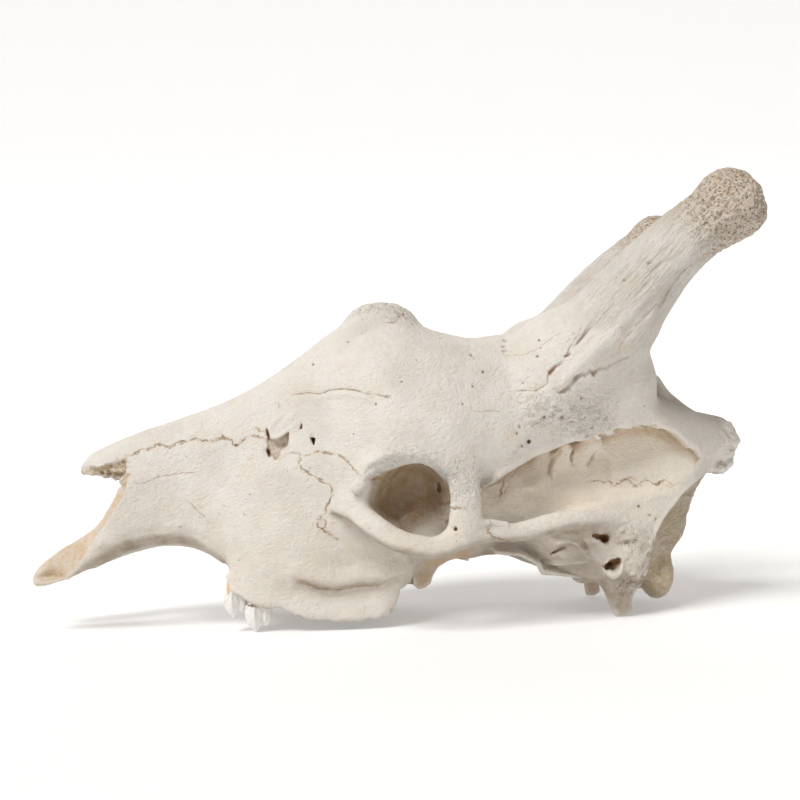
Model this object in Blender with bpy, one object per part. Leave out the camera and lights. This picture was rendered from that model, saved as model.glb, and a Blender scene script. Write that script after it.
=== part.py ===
# Giraffe skull without its lower jaw, resting on its teeth and its two paroccipital tips.
# The nose points to -X, the skull's left side faces -Y, and the floor is z = 0.
# Sizes are in millimetres in the tables and become metres where the mesh is made.

import math

import bmesh
import bpy
from mathutils import Vector

MM = 0.001

# Driving dimensions
BONE_VOXEL = 2.6
FILLET_RADIUS = 6.0
BONE_TRIANGLES = 8300
RING_STEP = 6.0
SMOOTH_PASSES = 5
FLOOR_DEPTH = 40.0
SOCKET_GAP = 0.45

# Middle line of the skull roof, as x and z, from the nose to the crest at the back of the head
ROOF_LINE = [
    (-306, 160), (-291, 173), (-257, 186), (-209, 202.5), (-165, 217), (-125, 237),
    (-85, 265), (-60, 283), (-30, 296), (10, 293), (45, 282), (82, 274), (112, 278),
    (140, 275), (165, 262), (200, 243), (240, 226), (280, 207), (315, 193), (337, 186),
]

# Face sections from the nasal opening to the back of the orbits.
# Each holds the half width and height of the points from the roof shoulder down to the palate.
FACE_SECTIONS = {
    -258: [(22, 177), (34, 162), (40, 136), (41, 110), (38, 83), (20, 85), (0, 88)],
    -235: [(24, 186), (37, 168), (42, 140), (43, 112), (39, 85), (22, 87), (0, 91)],
    -205: [(26, 197), (39, 177), (44, 148), (46, 115), (42, 84), (24, 87), (0, 91)],
    -175: [(29, 209), (43, 186), (49, 155), (53, 115), (48, 72), (28, 76), (0, 80)],
    -150: [(33, 219), (48, 196), (57, 160), (64, 112), (62, 62), (34, 54), (0, 58)],
    -120: [(38, 234), (54, 208), (64, 168), (71, 115), (69, 52), (36, 42), (0, 44)],
    -90: [(45, 252), (62, 222), (72, 178), (77, 120), (72, 48), (38, 36), (0, 38)],
    -60: [(56, 267), (76, 233), (85, 185), (84, 125), (72, 50), (38, 33), (0, 35)],
    -30: [(66, 275), (93, 237), (103, 186), (86, 125), (70, 54), (38, 31), (0, 33)],
    0: [(72, 276), (104, 231), (118, 174), (82, 118), (60, 62), (32, 40), (0, 36)],
    35: [(75, 269), (106, 227), (119, 172), (72, 115), (38, 68), (24, 56), (0, 54)],
    62: [(76, 263), (104, 220), (112, 168), (64, 112), (34, 70), (22, 58), (0, 57)],
    72: [(72, 258), (98, 215), (100, 160), (60, 112), (34, 72), (22, 60), (0, 59)],
}

# Braincase sections behind the orbits. The third point is the crest that hangs over the temporal hollow.
BRAIN_SECTIONS = {
    45: [(74, 262), (98, 214), (92, 160), (62, 140), (56, 118), (46, 95), (36, 73), (24, 56), (0, 54)],
    66: [(76, 261), (105, 216), (107, 150), (62, 138), (55, 118), (46, 95), (36, 74), (24, 56), (0, 54)],
    88: [(74, 263), (103, 208), (100, 144), (62, 136), (54, 118), (46, 96), (38, 80), (24, 61), (0, 58)],
    108: [(70, 264), (99, 207), (95, 157), (62, 150), (55, 125), (50, 100), (40, 80), (26, 61), (0, 57)],
    130: [(66, 262), (97, 206), (91, 165), (62, 158), (57, 130), (56, 103), (48, 77), (30, 52), (0, 50)],
    155: [(64, 252), (93, 206), (89, 173), (62, 165), (59, 135), (63, 108), (76, 86), (40, 41), (0, 40)],
    180: [(62, 230), (87, 203), (85, 178), (61, 170), (60, 138), (68, 110), (82, 84), (46, 38), (0, 38)],
    205: [(55, 223), (83, 205), (82, 181), (60, 172), (60, 140), (68, 112), (78, 82), (48, 35), (0, 36)],
    230: [(48, 216), (77, 204), (80, 186), (59, 174), (59, 144), (66, 115), (74, 80), (48, 34), (0, 36)],
    255: [(44, 209), (70, 196), (76, 177), (57, 164), (58, 142), (64, 120), (66, 92), (42, 50), (0, 50)],
    280: [(42, 199), (62, 184), (70, 158), (58, 146), (57, 136), (58, 126), (52, 112), (34, 92), (0, 80)],
    302: [(38, 190), (52, 174), (58, 152), (52, 145), (48, 140), (44, 134), (38, 128), (24, 122), (0, 118)],
    318: [(32, 186), (42, 174), (46, 162), (42, 156), (38, 151), (34, 147), (28, 143), (16, 140), (0, 138)],
}

# Each front prong of the upper jaw: outer bottom, outer edge, inner ridge, inner face, inner bottom
PRONG_SECTIONS = {
    -353: [(17, 43), (19, 49), (14, 57), (9, 51), (11, 43)],
    -342: [(24, 45), (27, 53), (15, 69), (8, 58), (10, 45)],
    -320: [(29, 52), (34, 62), (18, 84), (9, 70), (12, 52)],
    -300: [(34, 60), (38, 76), (21, 95), (13, 83), (14, 62)],
    -285: [(37, 67), (41, 95), (26, 106), (18, 94), (16, 69)],
    -270: [(39, 74), (42, 116), (32, 133), (26, 108), (18, 76)],
    -255: [(40, 80), (42, 138), (35, 150), (31, 118), (20, 83)],
    -235: [(40, 84), (43, 154), (36, 164), (32, 118), (20, 87)],
}

# Each nasal bone in front of the maxilla: top middle, side, lower edge, inner corner, bottom middle
NASAL_SECTIONS = {
    -307: [(0, 160), (6, 158), (8, 152), (4, 147), (0, 151)],
    -293: [(0, 172), (14, 166), (17, 144), (8, 149), (0, 161)],
    -275: [(0, 180), (20, 171), (24, 139), (14, 150), (0, 169)],
    -255: [(0, 188), (25, 178), (31, 138), (20, 152), (0, 176)],
    -235: [(0, 195), (28, 185), (35, 146), (24, 158), (0, 183)],
}

# Each jaw ridge that carried the teeth: outer top, outer middle, outer edge, inner edge, inner top
JAW_SECTIONS = {
    -162: [(56, 68), (57, 57), (55, 46), (46, 46), (42, 64)],
    -150: [(62, 66), (63, 46), (61, 34), (43, 34), (38, 60)],
    -128: [(69, 62), (66, 40), (65, 24), (43, 24), (38, 52)],
    -108: [(72, 58), (68, 34), (67, 18), (43, 17), (38, 44)],
    -90: [(73, 54), (69, 30), (68, 10), (44, 12), (38, 40)],
    -50: [(74, 54), (69, 28), (68, 7), (44, 10), (38, 38)],
    -16: [(72, 54), (68, 28), (66, 6), (44, 10), (38, 38)],
    -2: [(69, 56), (65, 40), (62, 22), (42, 20), (36, 40)],
    12: [(66, 62), (58, 50), (55, 41), (38, 40), (32, 46)],
}

# Outline of each orbit where it meets the side of the head, as x and z.
# The bowl's levels hold a half width, the outline's scale there and its shift in x and z.
ORBIT_MIDDLE = (5, 126)
ORBIT_LEVELS = [
    (150, 1.12, 0, 0), (112, 1.0, 0, 0), (96, 1.02, 1, 0), (78, 0.98, 3, 0), (62, 0.86, 6, 0),
    (50, 0.66, 9, 1), (43, 0.40, 11, 2),
]
ORBIT_OUTLINE = [
    (-27, 124), (-22, 138), (-12, 149), (1, 156), (14, 157), (27, 151), (35, 140),
    (39, 126), (38, 112), (34, 100), (23, 93), (8, 93), (-5, 99), (-17, 106), (-24, 114),
]

# Centre line of each ossicone as x, half width from the middle, z, and its radius
OSSICONE_LINE = [
    (132, 50, 214, 56), (164, 60, 245, 55), (194, 67, 267, 48), (218, 76, 298, 40.5),
    (244, 84, 331, 34), (268, 90, 355, 31), (291, 94, 372, 29.5), (303, 97, 381, 32),
    (315, 98, 389, 36), (326, 99, 396, 32), (336, 99, 402, 21),
]
OSSICONE_ROOT_PLACE = (192, 54, 224)
OSSICONE_ROOT_RADII = (62, 44, 66)
RIGHT_TIP_SHIFT = (-6, 0, -13)

# Rough lump of the ligament at the back of the head
NUCHAL_LUMP_PLACE = (325, 0, 165)
NUCHAL_LUMP_RADII = (27, 42, 25)
LOWER_LUMP_PLACE = (331, 0, 143)
LOWER_LUMP_RADII = (17, 26, 14)

# Low third horn on the forehead
FOREHEAD_LUMP_PLACE = (-9, 0, 283)
FOREHEAD_LUMP_RADII = (41, 38, 29.5)

# Cheek bar under the orbit and back to the ear, as x, half width, z, half thickness across, half height
CHEEK_BAR = [
    (-80, 72, 130, 5, 5), (-60, 82, 124, 7, 7), (-44, 92, 117, 9, 7), (-28, 100, 107, 9, 7),
    (-12, 106, 95, 8, 8), (8, 110, 86, 8, 8), (30, 111, 83, 9, 9), (55, 110, 90, 9, 12),
    (80, 105, 91, 8, 10), (105, 101, 90, 8, 10), (130, 97, 95, 10, 11), (155, 91, 99, 14, 10),
    (185, 76, 98, 15, 10), (215, 58, 98, 14, 10),
]

# Bar between the orbit and the temporal hollow
ORBIT_BAR = [
    (50, 94, 200, 10, 14), (52, 104, 174, 10, 15), (55, 110, 146, 9, 15),
    (56, 111, 118, 9, 16), (54, 110, 92, 9, 18),
]

# Rim of bone round the orbit, as x, half width, z, half thickness across, half height
BROW_BAR = [
    (-38, 94, 128, 9, 8), (-35, 101, 147, 8, 8), (-22, 109, 163, 7, 7), (4, 114, 169, 7, 7),
    (28, 115, 164, 7, 7), (45, 113, 148, 8, 8),
]

# Paroccipital process behind the ear, down to the floor
PAROCCIPITAL_LINE = [
    (216, 56, 84, 17, 20), (214, 60, 50, 14, 22), (212, 59, 28, 10, 20),
    (212, 57, 12, 7, 13), (213, 56, 0, 6, 10), (213, 56, -8, 5, 8),
]

# Curtain of bone beside each rear nostril, with its hook
PTERYGOID_LINE = [
    (58, 28, 68, 5, 12), (42, 28, 64, 4, 12), (30, 28, 49, 4, 12), (23, 28, 34, 4, 11),
    (10, 30, 43, 5, 14), (-6, 34, 47, 6, 12),
]

EAR_TUBE = [(196, 52, 58, 12, 12), (199, 66, 53, 11, 11), (202, 76, 50, 9.5, 9.5)]
EAR_BULB_PLACE = (180, 40, 44)
EAR_BULB_RADII = (20, 15, 15)
CONDYLE_PLACE = (256, 30, 35)
CONDYLE_RADII = (18.5, 19, 26)
OCCIPUT_PLACE = (266, 0, 91)
OCCIPUT_RADII = (28, 52, 39)
BASE_PLACE = (215, 0, 50)
BASE_RADII = (60, 26, 18)

# Hollows
NOSE_HOLLOW = {
    -300: [(0, 156), (8, 153), (20, 140), (24, 105), (10, 92), (0, 92)],
    -275: [(0, 164), (14, 158), (26, 142), (27, 105), (14, 92), (0, 91)],
    -250: [(0, 173), (18, 166), (31, 148), (32, 118), (24, 94), (0, 95)],
    -215: [(0, 187), (20, 180), (33, 158), (37, 120), (30, 97), (0, 98)],
    -175: [(0, 203), (22, 194), (38, 168), (45, 125), (38, 92), (0, 92)],
    -130: [(0, 222), (26, 208), (46, 172), (56, 125), (50, 74), (0, 64)],
    -80: [(0, 228), (28, 210), (50, 172), (58, 125), (50, 66), (0, 56)],
    -50: [(0, 200), (20, 190), (32, 165), (36, 125), (30, 80), (0, 66)],
}
MOUTH_SLOT = [
    (-356, 0, 60, 9, 40), (-330, 0, 66, 9, 40), (-290, 0, 76, 12, 40), (-240, 0, 84, 12, 30),
    (-212, 0, 86, 9, 24),
]
THROAT_TUNNEL = [
    (78, 0, 34, 18, 14), (50, 0, 44, 21, 18), (20, 0, 56, 22, 20), (-20, 0, 72, 22, 22),
    (-70, 0, 88, 24, 24),
]
SKULL_BASE_HOLE = [
    (315, 0, 44, 20, 18), (285, 0, 56, 19, 18), (250, 0, 74, 20, 20), (215, 0, 96, 26, 26),
    (180, 0, 112, 30, 30), (145, 0, 122, 24, 26),
]
ORBIT_FLOOR = [(14, 62, 104, 18, 22), (24, 60, 84, 16, 22), (34, 56, 66, 15, 22), (40, 54, 40, 15, 24)]
ORBIT_PASSAGE = [(24, 72, 112, 15, 20), (54, 78, 112, 15, 16), (90, 80, 112, 14, 15), (120, 80, 96, 12, 14)]
EAR_HOLE = [(204, 84, 48.5, 5.5, 5.5), (200, 70, 51, 5.5, 5.5), (196, 56, 56, 5, 5)]
REAR_EAR_HOLE = [(184, 96, 82, 5, 4.5), (192, 76, 79, 6, 4.5), (200, 62, 78, 4, 4)]

# Row of empty molar sockets: front and back of each, the half widths they lie between, and their heights
SOCKET_ROWS = [(-118, -103), (-92, -73), (-66, -44), (-37, -16)]
SOCKET_SIDES = (47, 62)
SOCKET_BOTTOM = -10
SOCKET_ROOF = 34

# The two premolars of a side: centre x, half width, half length along the jaw, half width across, tip z,
# z of the crown's neck, and z of the root's end
TEETH = {
    "front": {
        "x": -157, "side": 53, "half_length": 10.5, "half_width": 8.0, "tip": 14.5, "neck": 36, "root": 58,
    },
    "back": {
        "x": -135, "side": 54, "half_length": 13.0, "half_width": 9.5, "tip": 0.0, "neck": 24, "root": 50,
    },
}
TOOTH_SIDES = 14
CROWN_PINCH = 0.12

# Levels of a premolar: the height that each is measured from, how far above it, and the crown's scale there
TOOTH_LEVELS = [
    ("root", 0, 0.34), ("root", -6, 0.52), ("neck", 12, 0.66), ("neck", 1, 0.74), ("neck", -4, 0.92),
    ("neck", -9, 1.0), ("tip", 9, 0.97), ("tip", 5, 0.8), ("tip", 0, 0.5),
]


def spline_value(xs, values, x):
    """Value at x of a smooth curve through the given points, which doesn't overshoot them."""
    if x <= xs[0]:
        return values[0]
    if x >= xs[-1]:
        return values[-1]
    i = max(k for k in range(len(xs) - 1) if xs[k] <= x)
    rises = [(values[k + 1] - values[k]) / (xs[k + 1] - xs[k]) for k in range(len(xs) - 1)]

    def slope(k):
        if k == 0:
            return rises[0]
        if k == len(xs) - 1:
            return rises[-1]
        before, after = rises[k - 1], rises[k]
        if before * after <= 0:
            return 0.0
        return 2 * before * after / (before + after)

    span = xs[i + 1] - xs[i]
    t = (x - xs[i]) / span
    h00 = (1 + 2 * t) * (1 - t) ** 2
    h10 = t * (1 - t) ** 2
    h01 = t * t * (3 - 2 * t)
    h11 = t * t * (t - 1)
    return h00 * values[i] + h10 * span * slope(i) + h01 * values[i + 1] + h11 * span * slope(i + 1)


def curve_through(points, steps, closed=False):
    """Points of a Catmull-Rom curve through the given ones."""
    count = len(points)
    spans = count if closed else count - 1
    result = []
    for i in range(spans):
        if closed:
            p0, p1, p2, p3 = (Vector(points[(i + k) % count]) for k in (-1, 0, 1, 2))
        else:
            p0, p1, p2, p3 = (Vector(points[min(max(i + k, 0), count - 1)]) for k in (-1, 0, 1, 2))
        for step in range(steps):
            t = step / steps
            result.append(
                0.5 * (2 * p1 + (p2 - p0) * t + (2 * p0 - 5 * p1 + 4 * p2 - p3) * t * t
                       + (3 * p1 - p0 - 3 * p2 + p3) * t ** 3)
            )
    if not closed:
        result.append(Vector(points[-1]))
    return result


def add_rings(bm, rings):
    """Adds a closed skin over a row of rings with the same number of points, given in millimetres."""
    rows = [[bm.verts.new(Vector(p) * MM) for p in ring] for ring in rings]
    for row, after in zip(rows, rows[1:]):
        for k in range(len(row)):
            bm.faces.new((row[k], row[k - 1], after[k - 1], after[k]))
    for row, ring in ((rows[0], rings[0]), (rows[-1], rings[-1])):
        middle = bm.verts.new(sum((Vector(p) for p in ring), Vector()) / len(ring) * MM)
        for k in range(len(row)):
            bm.faces.new((row[k], row[k - 1], middle))


def section_at(sections, x):
    """The points of a section at x, read from smooth curves between the given sections."""
    xs = sorted(sections)
    count = len(sections[xs[0]])
    return [
        tuple(spline_value(xs, [sections[s][k][axis] for s in xs], x) for axis in (0, 1))
        for k in range(count)
    ]


def places(first, last, step=RING_STEP):
    count = max(2, math.ceil((last - first) / step))
    return [first + (last - first) * k / count for k in range(count + 1)]


def add_both_sides(bm, sections, top_line=None):
    """Adds a body whose sections are the same on the left and on the right."""
    rings = []
    for x in places(min(sections), max(sections)):
        half = section_at(sections, x)
        if top_line:
            half = [(0, spline_value([p[0] for p in top_line], [p[1] for p in top_line], x))] + half
        left = [(x, -side, z) for side, z in half]
        right = [(x, side, z) for side, z in reversed(half[1:-1])]
        rings.append(curve_through(left + right, 4, closed=True))
    add_rings(bm, rings)


def add_pair(bm, sections):
    """Adds a body on the left side and its mirror image on the right."""
    for sign in (-1, 1):
        rings = []
        for x in places(min(sections), max(sections)):
            section = [(x, sign * side, z) for side, z in section_at(sections, x)]
            rings.append(curve_through(section, 3, closed=True))
        add_rings(bm, rings)


def add_strand(bm, line, sign=-1, sides=16, shift=(0, 0, 0)):
    """Adds a rounded bar along a line of x, half width, z, half thickness across and half height."""
    points = []
    for k, p in enumerate(line):
        share = k / (len(line) - 1)
        radii = (p[3], p[4]) if len(p) > 4 else (p[3], p[3])
        place = (p[0] + shift[0] * share, sign * p[1] + shift[1] * share, p[2] + shift[2] * share)
        points.append(place + radii)
    middles = curve_through([p[:3] for p in points], 4)
    radii = curve_through([(p[3], p[4], 0) for p in points], 4)
    rings = []
    for k, centre in enumerate(middles):
        along = (middles[min(k + 1, len(middles) - 1)] - middles[max(k - 1, 0)]).normalized()
        across = Vector((0, 1, 0))
        if abs(along.y) > 0.8:
            across = Vector((0, 0, 1))
        across = (across - along * across.dot(along)).normalized()
        up = along.cross(across)
        rings.append([
            centre + across * math.cos(a) * radii[k][0] + up * math.sin(a) * radii[k][1]
            for a in (2 * math.pi * s / sides for s in range(sides))
        ])
    add_rings(bm, rings)


def add_ball(bm, place, radii, sign=-1, rows=12, sides=20):
    """Adds an ellipsoid."""
    rings = []
    for row in range(1, rows):
        lean = math.pi * row / rows
        rings.append([
            (
                place[0] + radii[0] * math.sin(lean) * math.cos(a),
                sign * place[1] + radii[1] * math.sin(lean) * math.sin(a),
                place[2] + radii[2] * math.cos(lean),
            )
            for a in (2 * math.pi * s / sides for s in range(sides))
        ])
    add_rings(bm, rings)


def add_block(bm, low, high):
    corners = [(low[0], low[1]), (high[0], low[1]), (high[0], high[1]), (low[0], high[1])]
    add_rings(bm, [[(x, y, z) for x, y in corners] for z in (low[2], high[2])])


def add_orbit(bm, sign):
    """Adds the space of one orbit: a bowl that leans back and down towards the brain."""
    middle = Vector(ORBIT_MIDDLE)
    outline = curve_through([(x, z, 0) for x, z in ORBIT_OUTLINE], 2, closed=True)
    rings = []
    for side, scale, dx, dz in ORBIT_LEVELS:
        rings.append([
            (middle.x + dx + (p.x - middle.x) * scale, sign * side, middle.y + dz + (p.y - middle.y) * scale)
            for p in outline
        ])
    add_rings(bm, rings)


def new_object(name, bm, material=None):
    bmesh.ops.recalc_face_normals(bm, faces=bm.faces)
    mesh = bpy.data.meshes.new(name)
    bm.to_mesh(mesh)
    bm.free()
    thing = bpy.data.objects.new(name, mesh)
    bpy.context.scene.collection.objects.link(thing)
    if material:
        mesh.materials.append(material)
    return thing


def hide_helper(thing):
    thing.hide_render = True
    thing.display_type = "WIRE"


def add_modifier(thing, kind, name, **settings):
    modifier = thing.modifiers.new(name, kind)
    for key, value in settings.items():
        setattr(modifier, key, value)
    return modifier


def remesh(thing, name, voxel=BONE_VOXEL):
    add_modifier(thing, "REMESH", name, mode="VOXEL", voxel_size=voxel * MM, use_smooth_shade=True)


def swell(thing, name, distance):
    """Moves the whole surface out, or in when the distance is below zero."""
    add_modifier(thing, "DISPLACE", name, strength=distance * MM, mid_level=0.0)


def cut(thing, name, cutter):
    hide_helper(cutter)
    add_modifier(thing, "BOOLEAN", name, operation="DIFFERENCE", solver="EXACT", object=cutter)


def triangles_now(thing):
    graph = bpy.context.evaluated_depsgraph_get()
    mesh = thing.evaluated_get(graph).to_mesh()
    mesh.calc_loop_triangles()
    count = len(mesh.loop_triangles)
    thing.evaluated_get(graph).to_mesh_clear()
    return count


def principled(name, colour, roughness):
    material = bpy.data.materials.new(name)
    material.use_nodes = True
    shader = material.node_tree.nodes["Principled BSDF"]
    shader.inputs["Base Color"].default_value = (*colour, 1)
    shader.inputs["Roughness"].default_value = roughness
    shader.inputs["Metallic"].default_value = 0.0
    material.diffuse_color = (*colour, 1)
    return material


def bone_body():
    """All the bone that is there before anything is hollowed out."""
    bm = bmesh.new()
    add_both_sides(bm, FACE_SECTIONS, ROOF_LINE)
    add_both_sides(bm, BRAIN_SECTIONS, ROOF_LINE)
    add_pair(bm, PRONG_SECTIONS)
    add_both_sides(bm, NASAL_SECTIONS)
    add_pair(bm, JAW_SECTIONS)
    add_ball(bm, NUCHAL_LUMP_PLACE, NUCHAL_LUMP_RADII)
    add_ball(bm, LOWER_LUMP_PLACE, LOWER_LUMP_RADII)
    add_ball(bm, FOREHEAD_LUMP_PLACE, FOREHEAD_LUMP_RADII)
    add_ball(bm, OCCIPUT_PLACE, OCCIPUT_RADII)
    add_ball(bm, BASE_PLACE, BASE_RADII)
    for sign in (-1, 1):
        add_strand(bm, OSSICONE_LINE, sign, 24, RIGHT_TIP_SHIFT if sign > 0 else (0, 0, 0))
        for line in (CHEEK_BAR, ORBIT_BAR, BROW_BAR, PAROCCIPITAL_LINE, PTERYGOID_LINE, EAR_TUBE):
            add_strand(bm, line, sign)
        add_ball(bm, OSSICONE_ROOT_PLACE, OSSICONE_ROOT_RADII, sign)
        add_ball(bm, EAR_BULB_PLACE, EAR_BULB_RADII, sign)
        add_ball(bm, CONDYLE_PLACE, CONDYLE_RADII, sign)
    return bm


def bone_hollows():
    """The nose, the throat, the brain's hole, the orbits, the ears and the empty molar sockets."""
    bm = bmesh.new()
    add_both_sides(bm, NOSE_HOLLOW)
    for line in (MOUTH_SLOT, THROAT_TUNNEL, SKULL_BASE_HOLE):
        add_strand(bm, line)
    for sign in (-1, 1):
        add_orbit(bm, sign)
        for line in (ORBIT_FLOOR, ORBIT_PASSAGE, EAR_HOLE, REAR_EAR_HOLE):
            add_strand(bm, line, sign)
        for front, back in SOCKET_ROWS:
            inner, outer = sorted(sign * side for side in SOCKET_SIDES)
            add_block(bm, (front, inner, SOCKET_BOTTOM), (back, outer, SOCKET_ROOF))
    return bm


def tooth_rings(tooth, sign, gap=0.0):
    """Rings of a premolar from the root's end to the cusps. The socket is the same form, wider by a gap."""
    rings = []
    for number, (mark, above, scale) in enumerate(TOOTH_LEVELS):
        z = tooth[mark] + above + (gap if number == 0 else 0)
        ring = []
        for k in range(TOOTH_SIDES):
            a = 2 * math.pi * k / TOOTH_SIDES
            pinch = 1 - CROWN_PINCH * math.cos(2 * a) ** 2 * (scale > 0.9)
            ring.append((
                tooth["x"] + (tooth["half_length"] * scale * pinch + gap) * math.cos(a),
                sign * tooth["side"] + (tooth["half_width"] * scale * pinch + gap) * math.sin(a),
                z,
            ))
        rings.append(ring)
    return rings


def make_cranium(material):
    bone = new_object("cranium", bone_body(), material)
    remesh(bone, "join the bones")
    swell(bone, "swell", FILLET_RADIUS)
    remesh(bone, "fill the creases")
    swell(bone, "shrink back", -FILLET_RADIUS)
    remesh(bone, "even the bone")
    hollows = new_object("hollows", bone_hollows())
    remesh(hollows, "join the hollows")
    cut(bone, "open the hollows", hollows)
    remesh(bone, "even the surface")
    add_modifier(bone, "SMOOTH", "soften", factor=0.5, iterations=SMOOTH_PASSES)
    share = BONE_TRIANGLES / triangles_now(bone)
    add_modifier(bone, "DECIMATE", "fewer triangles", ratio=share)
    floor = bmesh.new()
    add_block(floor, (-400, -200, -FLOOR_DEPTH), (400, 200, 0))
    cut(bone, "level at the floor", new_object("floor", floor))
    for sign, side in ((-1, "left"), (1, "right")):
        for place, tooth in TEETH.items():
            socket = bmesh.new()
            add_rings(socket, tooth_rings(tooth, sign, SOCKET_GAP))
            cut(bone, f"socket {side} {place}", new_object(f"socket_{side}_{place}", socket))
    return bone


def make_teeth(material):
    for sign, side in ((-1, "left"), (1, "right")):
        for place, tooth in TEETH.items():
            bm = bmesh.new()
            add_rings(bm, tooth_rings(tooth, sign))
            new_object(f"tooth_{side}_{place}", bm, material)


def main():
    for thing in list(bpy.data.objects):
        bpy.data.objects.remove(thing)
    bone = principled("bone", (0.80, 0.76, 0.70), 0.7)
    enamel = principled("enamel", (0.86, 0.84, 0.78), 0.3)
    make_cranium(bone)
    make_teeth(enamel)


main()
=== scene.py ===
import math

import bmesh
import bpy
import numpy as np
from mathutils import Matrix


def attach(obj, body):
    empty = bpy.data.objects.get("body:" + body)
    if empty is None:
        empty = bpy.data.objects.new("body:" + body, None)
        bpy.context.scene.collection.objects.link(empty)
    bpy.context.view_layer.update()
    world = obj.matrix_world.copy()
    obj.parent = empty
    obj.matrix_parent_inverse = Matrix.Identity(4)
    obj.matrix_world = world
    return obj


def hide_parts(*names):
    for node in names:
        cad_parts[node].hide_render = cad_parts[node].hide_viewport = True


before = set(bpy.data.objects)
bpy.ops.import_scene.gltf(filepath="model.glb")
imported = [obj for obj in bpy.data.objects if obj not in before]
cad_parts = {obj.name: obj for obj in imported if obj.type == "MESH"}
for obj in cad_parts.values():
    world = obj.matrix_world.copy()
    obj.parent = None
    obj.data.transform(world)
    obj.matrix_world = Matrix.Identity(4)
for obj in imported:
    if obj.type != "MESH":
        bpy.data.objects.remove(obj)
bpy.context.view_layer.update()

import openvdb
from mathutils import Matrix, Vector

# Looks of a giraffe skull. The nose points to -X, the left side to -Y, and tables are in millimetres.
mm = 0.001
perMetre = 1000.0  # from metres to millimetres
sides = (-1, 1)  # the skull's left and right


# Camera, lights and floor
view = {
    "target": (8.0, 0.0, 214.4),  # the point that the middle of the picture shows
    "distance": 1111.0,
    "turn": 5.0,  # degrees towards the nose
    "roll": -1.5,
    "lens": 50.0,
    "sensor": 36.0,
}
studio = {
    "keyFrom": (-0.46, -0.42, 0.80),  # towards the main light
    "keyPower": 2.5,
    "keyColour": "#FFFDFB",
    "keySoftness": 26.0,  # degrees
    "worldLight": 0.245,
    "worldColour": "#FFF3E6",
    "floor": "#E9EAEB",
    "floorGlow": 0.25,
    "floorRoughness": 0.85,
    "floorGloss": 0.1,
    # the sheet's half width, front, bend, radius of the bend and top, in metres
    "floorWidth": 5.0,
    "floorFront": -4.0,
    "floorBend": 1.6,
    "bendRadius": 1.2,
    "floorTop": 4.0,
}


def linear(hexCode):
    # sRGB hex to the linear colour that the shader sockets take
    parts = [int(hexCode[i:i + 2], 16) / 255 for i in (1, 3, 5)]
    return tuple(p / 12.92 if p <= 0.04045 else ((p + 0.055) / 1.055) ** 2.4 for p in parts) + (1.0,)


def addNode(tree, kind, inputs=None, out=0, **settings):
    # adds a node, sets or links its inputs, and gives back one of its outputs
    node = tree.nodes.new(kind)
    for name, value in settings.items():
        setattr(node, name, value)
    for name, value in (inputs or {}).items():
        if isinstance(value, bpy.types.NodeSocket):
            tree.links.new(value, node.inputs[name])
        else:
            node.inputs[name].default_value = value
    return node.outputs[out] if node.outputs else node


def place(name, data):
    thing = bpy.data.objects.new(name, data)
    bpy.context.scene.collection.objects.link(thing)
    return thing


def newMaterial(name):
    material = bpy.data.materials.new(name)
    material.use_nodes = True
    return material, material.node_tree, material.node_tree.nodes["Principled BSDF"]


def setInputs(shader, values):
    for name, value in values.items():
        shader.inputs[name].default_value = value


def readAll(items, name, width=3, kind=np.float32):
    # a row of numbers for each vertex, edge or face
    values = np.empty(len(items) * width, kind)
    items.foreach_get(name, values)
    return values.reshape(-1, width)


def placeCamera():
    turn, roll = math.radians(view["turn"]), math.radians(view["roll"])
    back = Vector((-math.sin(turn), -math.cos(turn), 0))
    right = Vector((math.cos(turn), -math.sin(turn), 0))
    up = Vector((0, 0, 1))
    across = math.cos(roll) * right + math.sin(roll) * up
    upright = -math.sin(roll) * right + math.cos(roll) * up
    data = bpy.data.cameras.new("camera")
    data.lens, data.sensor_width, data.sensor_fit = view["lens"], view["sensor"], "HORIZONTAL"
    data.clip_start, data.clip_end = 0.01, 50
    camera = place("camera", data)
    where = (Vector(view["target"]) + back * view["distance"]) * mm
    camera.matrix_world = Matrix.Translation(where) @ Matrix((across, upright, back)).transposed().to_4x4()
    bpy.context.scene.camera = camera


def placeStudio():
    data = bpy.data.lights.new("key light", "SUN")
    data.energy, data.angle = studio["keyPower"], math.radians(studio["keySoftness"])
    data.color = linear(studio["keyColour"])[:3]
    light = place("key light", data)
    light.matrix_world = Vector(studio["keyFrom"]).to_track_quat("Z", "Y").to_matrix().to_4x4()
    bpy.context.scene.view_settings.view_transform = "Standard"
    world = bpy.data.worlds.new("studio")
    bpy.context.scene.world = world
    world.use_nodes = True
    setInputs(world.node_tree.nodes["Background"], {"Color": linear(studio["worldColour"]),
                                                    "Strength": studio["worldLight"]})
    paper, _, shader = newMaterial("matt studio paper")  # coated paper, even and without gloss
    setInputs(shader, {"Base Color": linear(studio["floor"]), "Roughness": studio["floorRoughness"],
                       "Specular IOR Level": studio["floorGloss"], "Emission Color": linear("#FFFFFF"),
                       "Emission Strength": studio["floorGlow"]})
    bm = bmesh.new()  # a sheet that runs back from the camera and curves up behind the skull
    bend, radius, wide = studio["floorBend"], studio["bendRadius"], studio["floorWidth"]
    profile = [(studio["floorFront"], 0.0), (bend, 0.0)]
    profile += [(bend + radius * math.sin(a), radius - radius * math.cos(a)) for a in np.linspace(0.1, 1.5, 14)]
    profile.append((bend + radius, studio["floorTop"]))
    rows = [[bm.verts.new((x, y, z)) for x in (-wide, wide)] for y, z in profile]
    for low, high in zip(rows, rows[1:]):
        bm.faces.new((low[0], low[1], high[1], high[0]))
    mesh = bpy.data.meshes.new("floor")
    bm.to_mesh(mesh)
    bm.free()
    mesh.materials.append(paper)
    mesh.shade_smooth()
    floor = place("floor", mesh)


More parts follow.
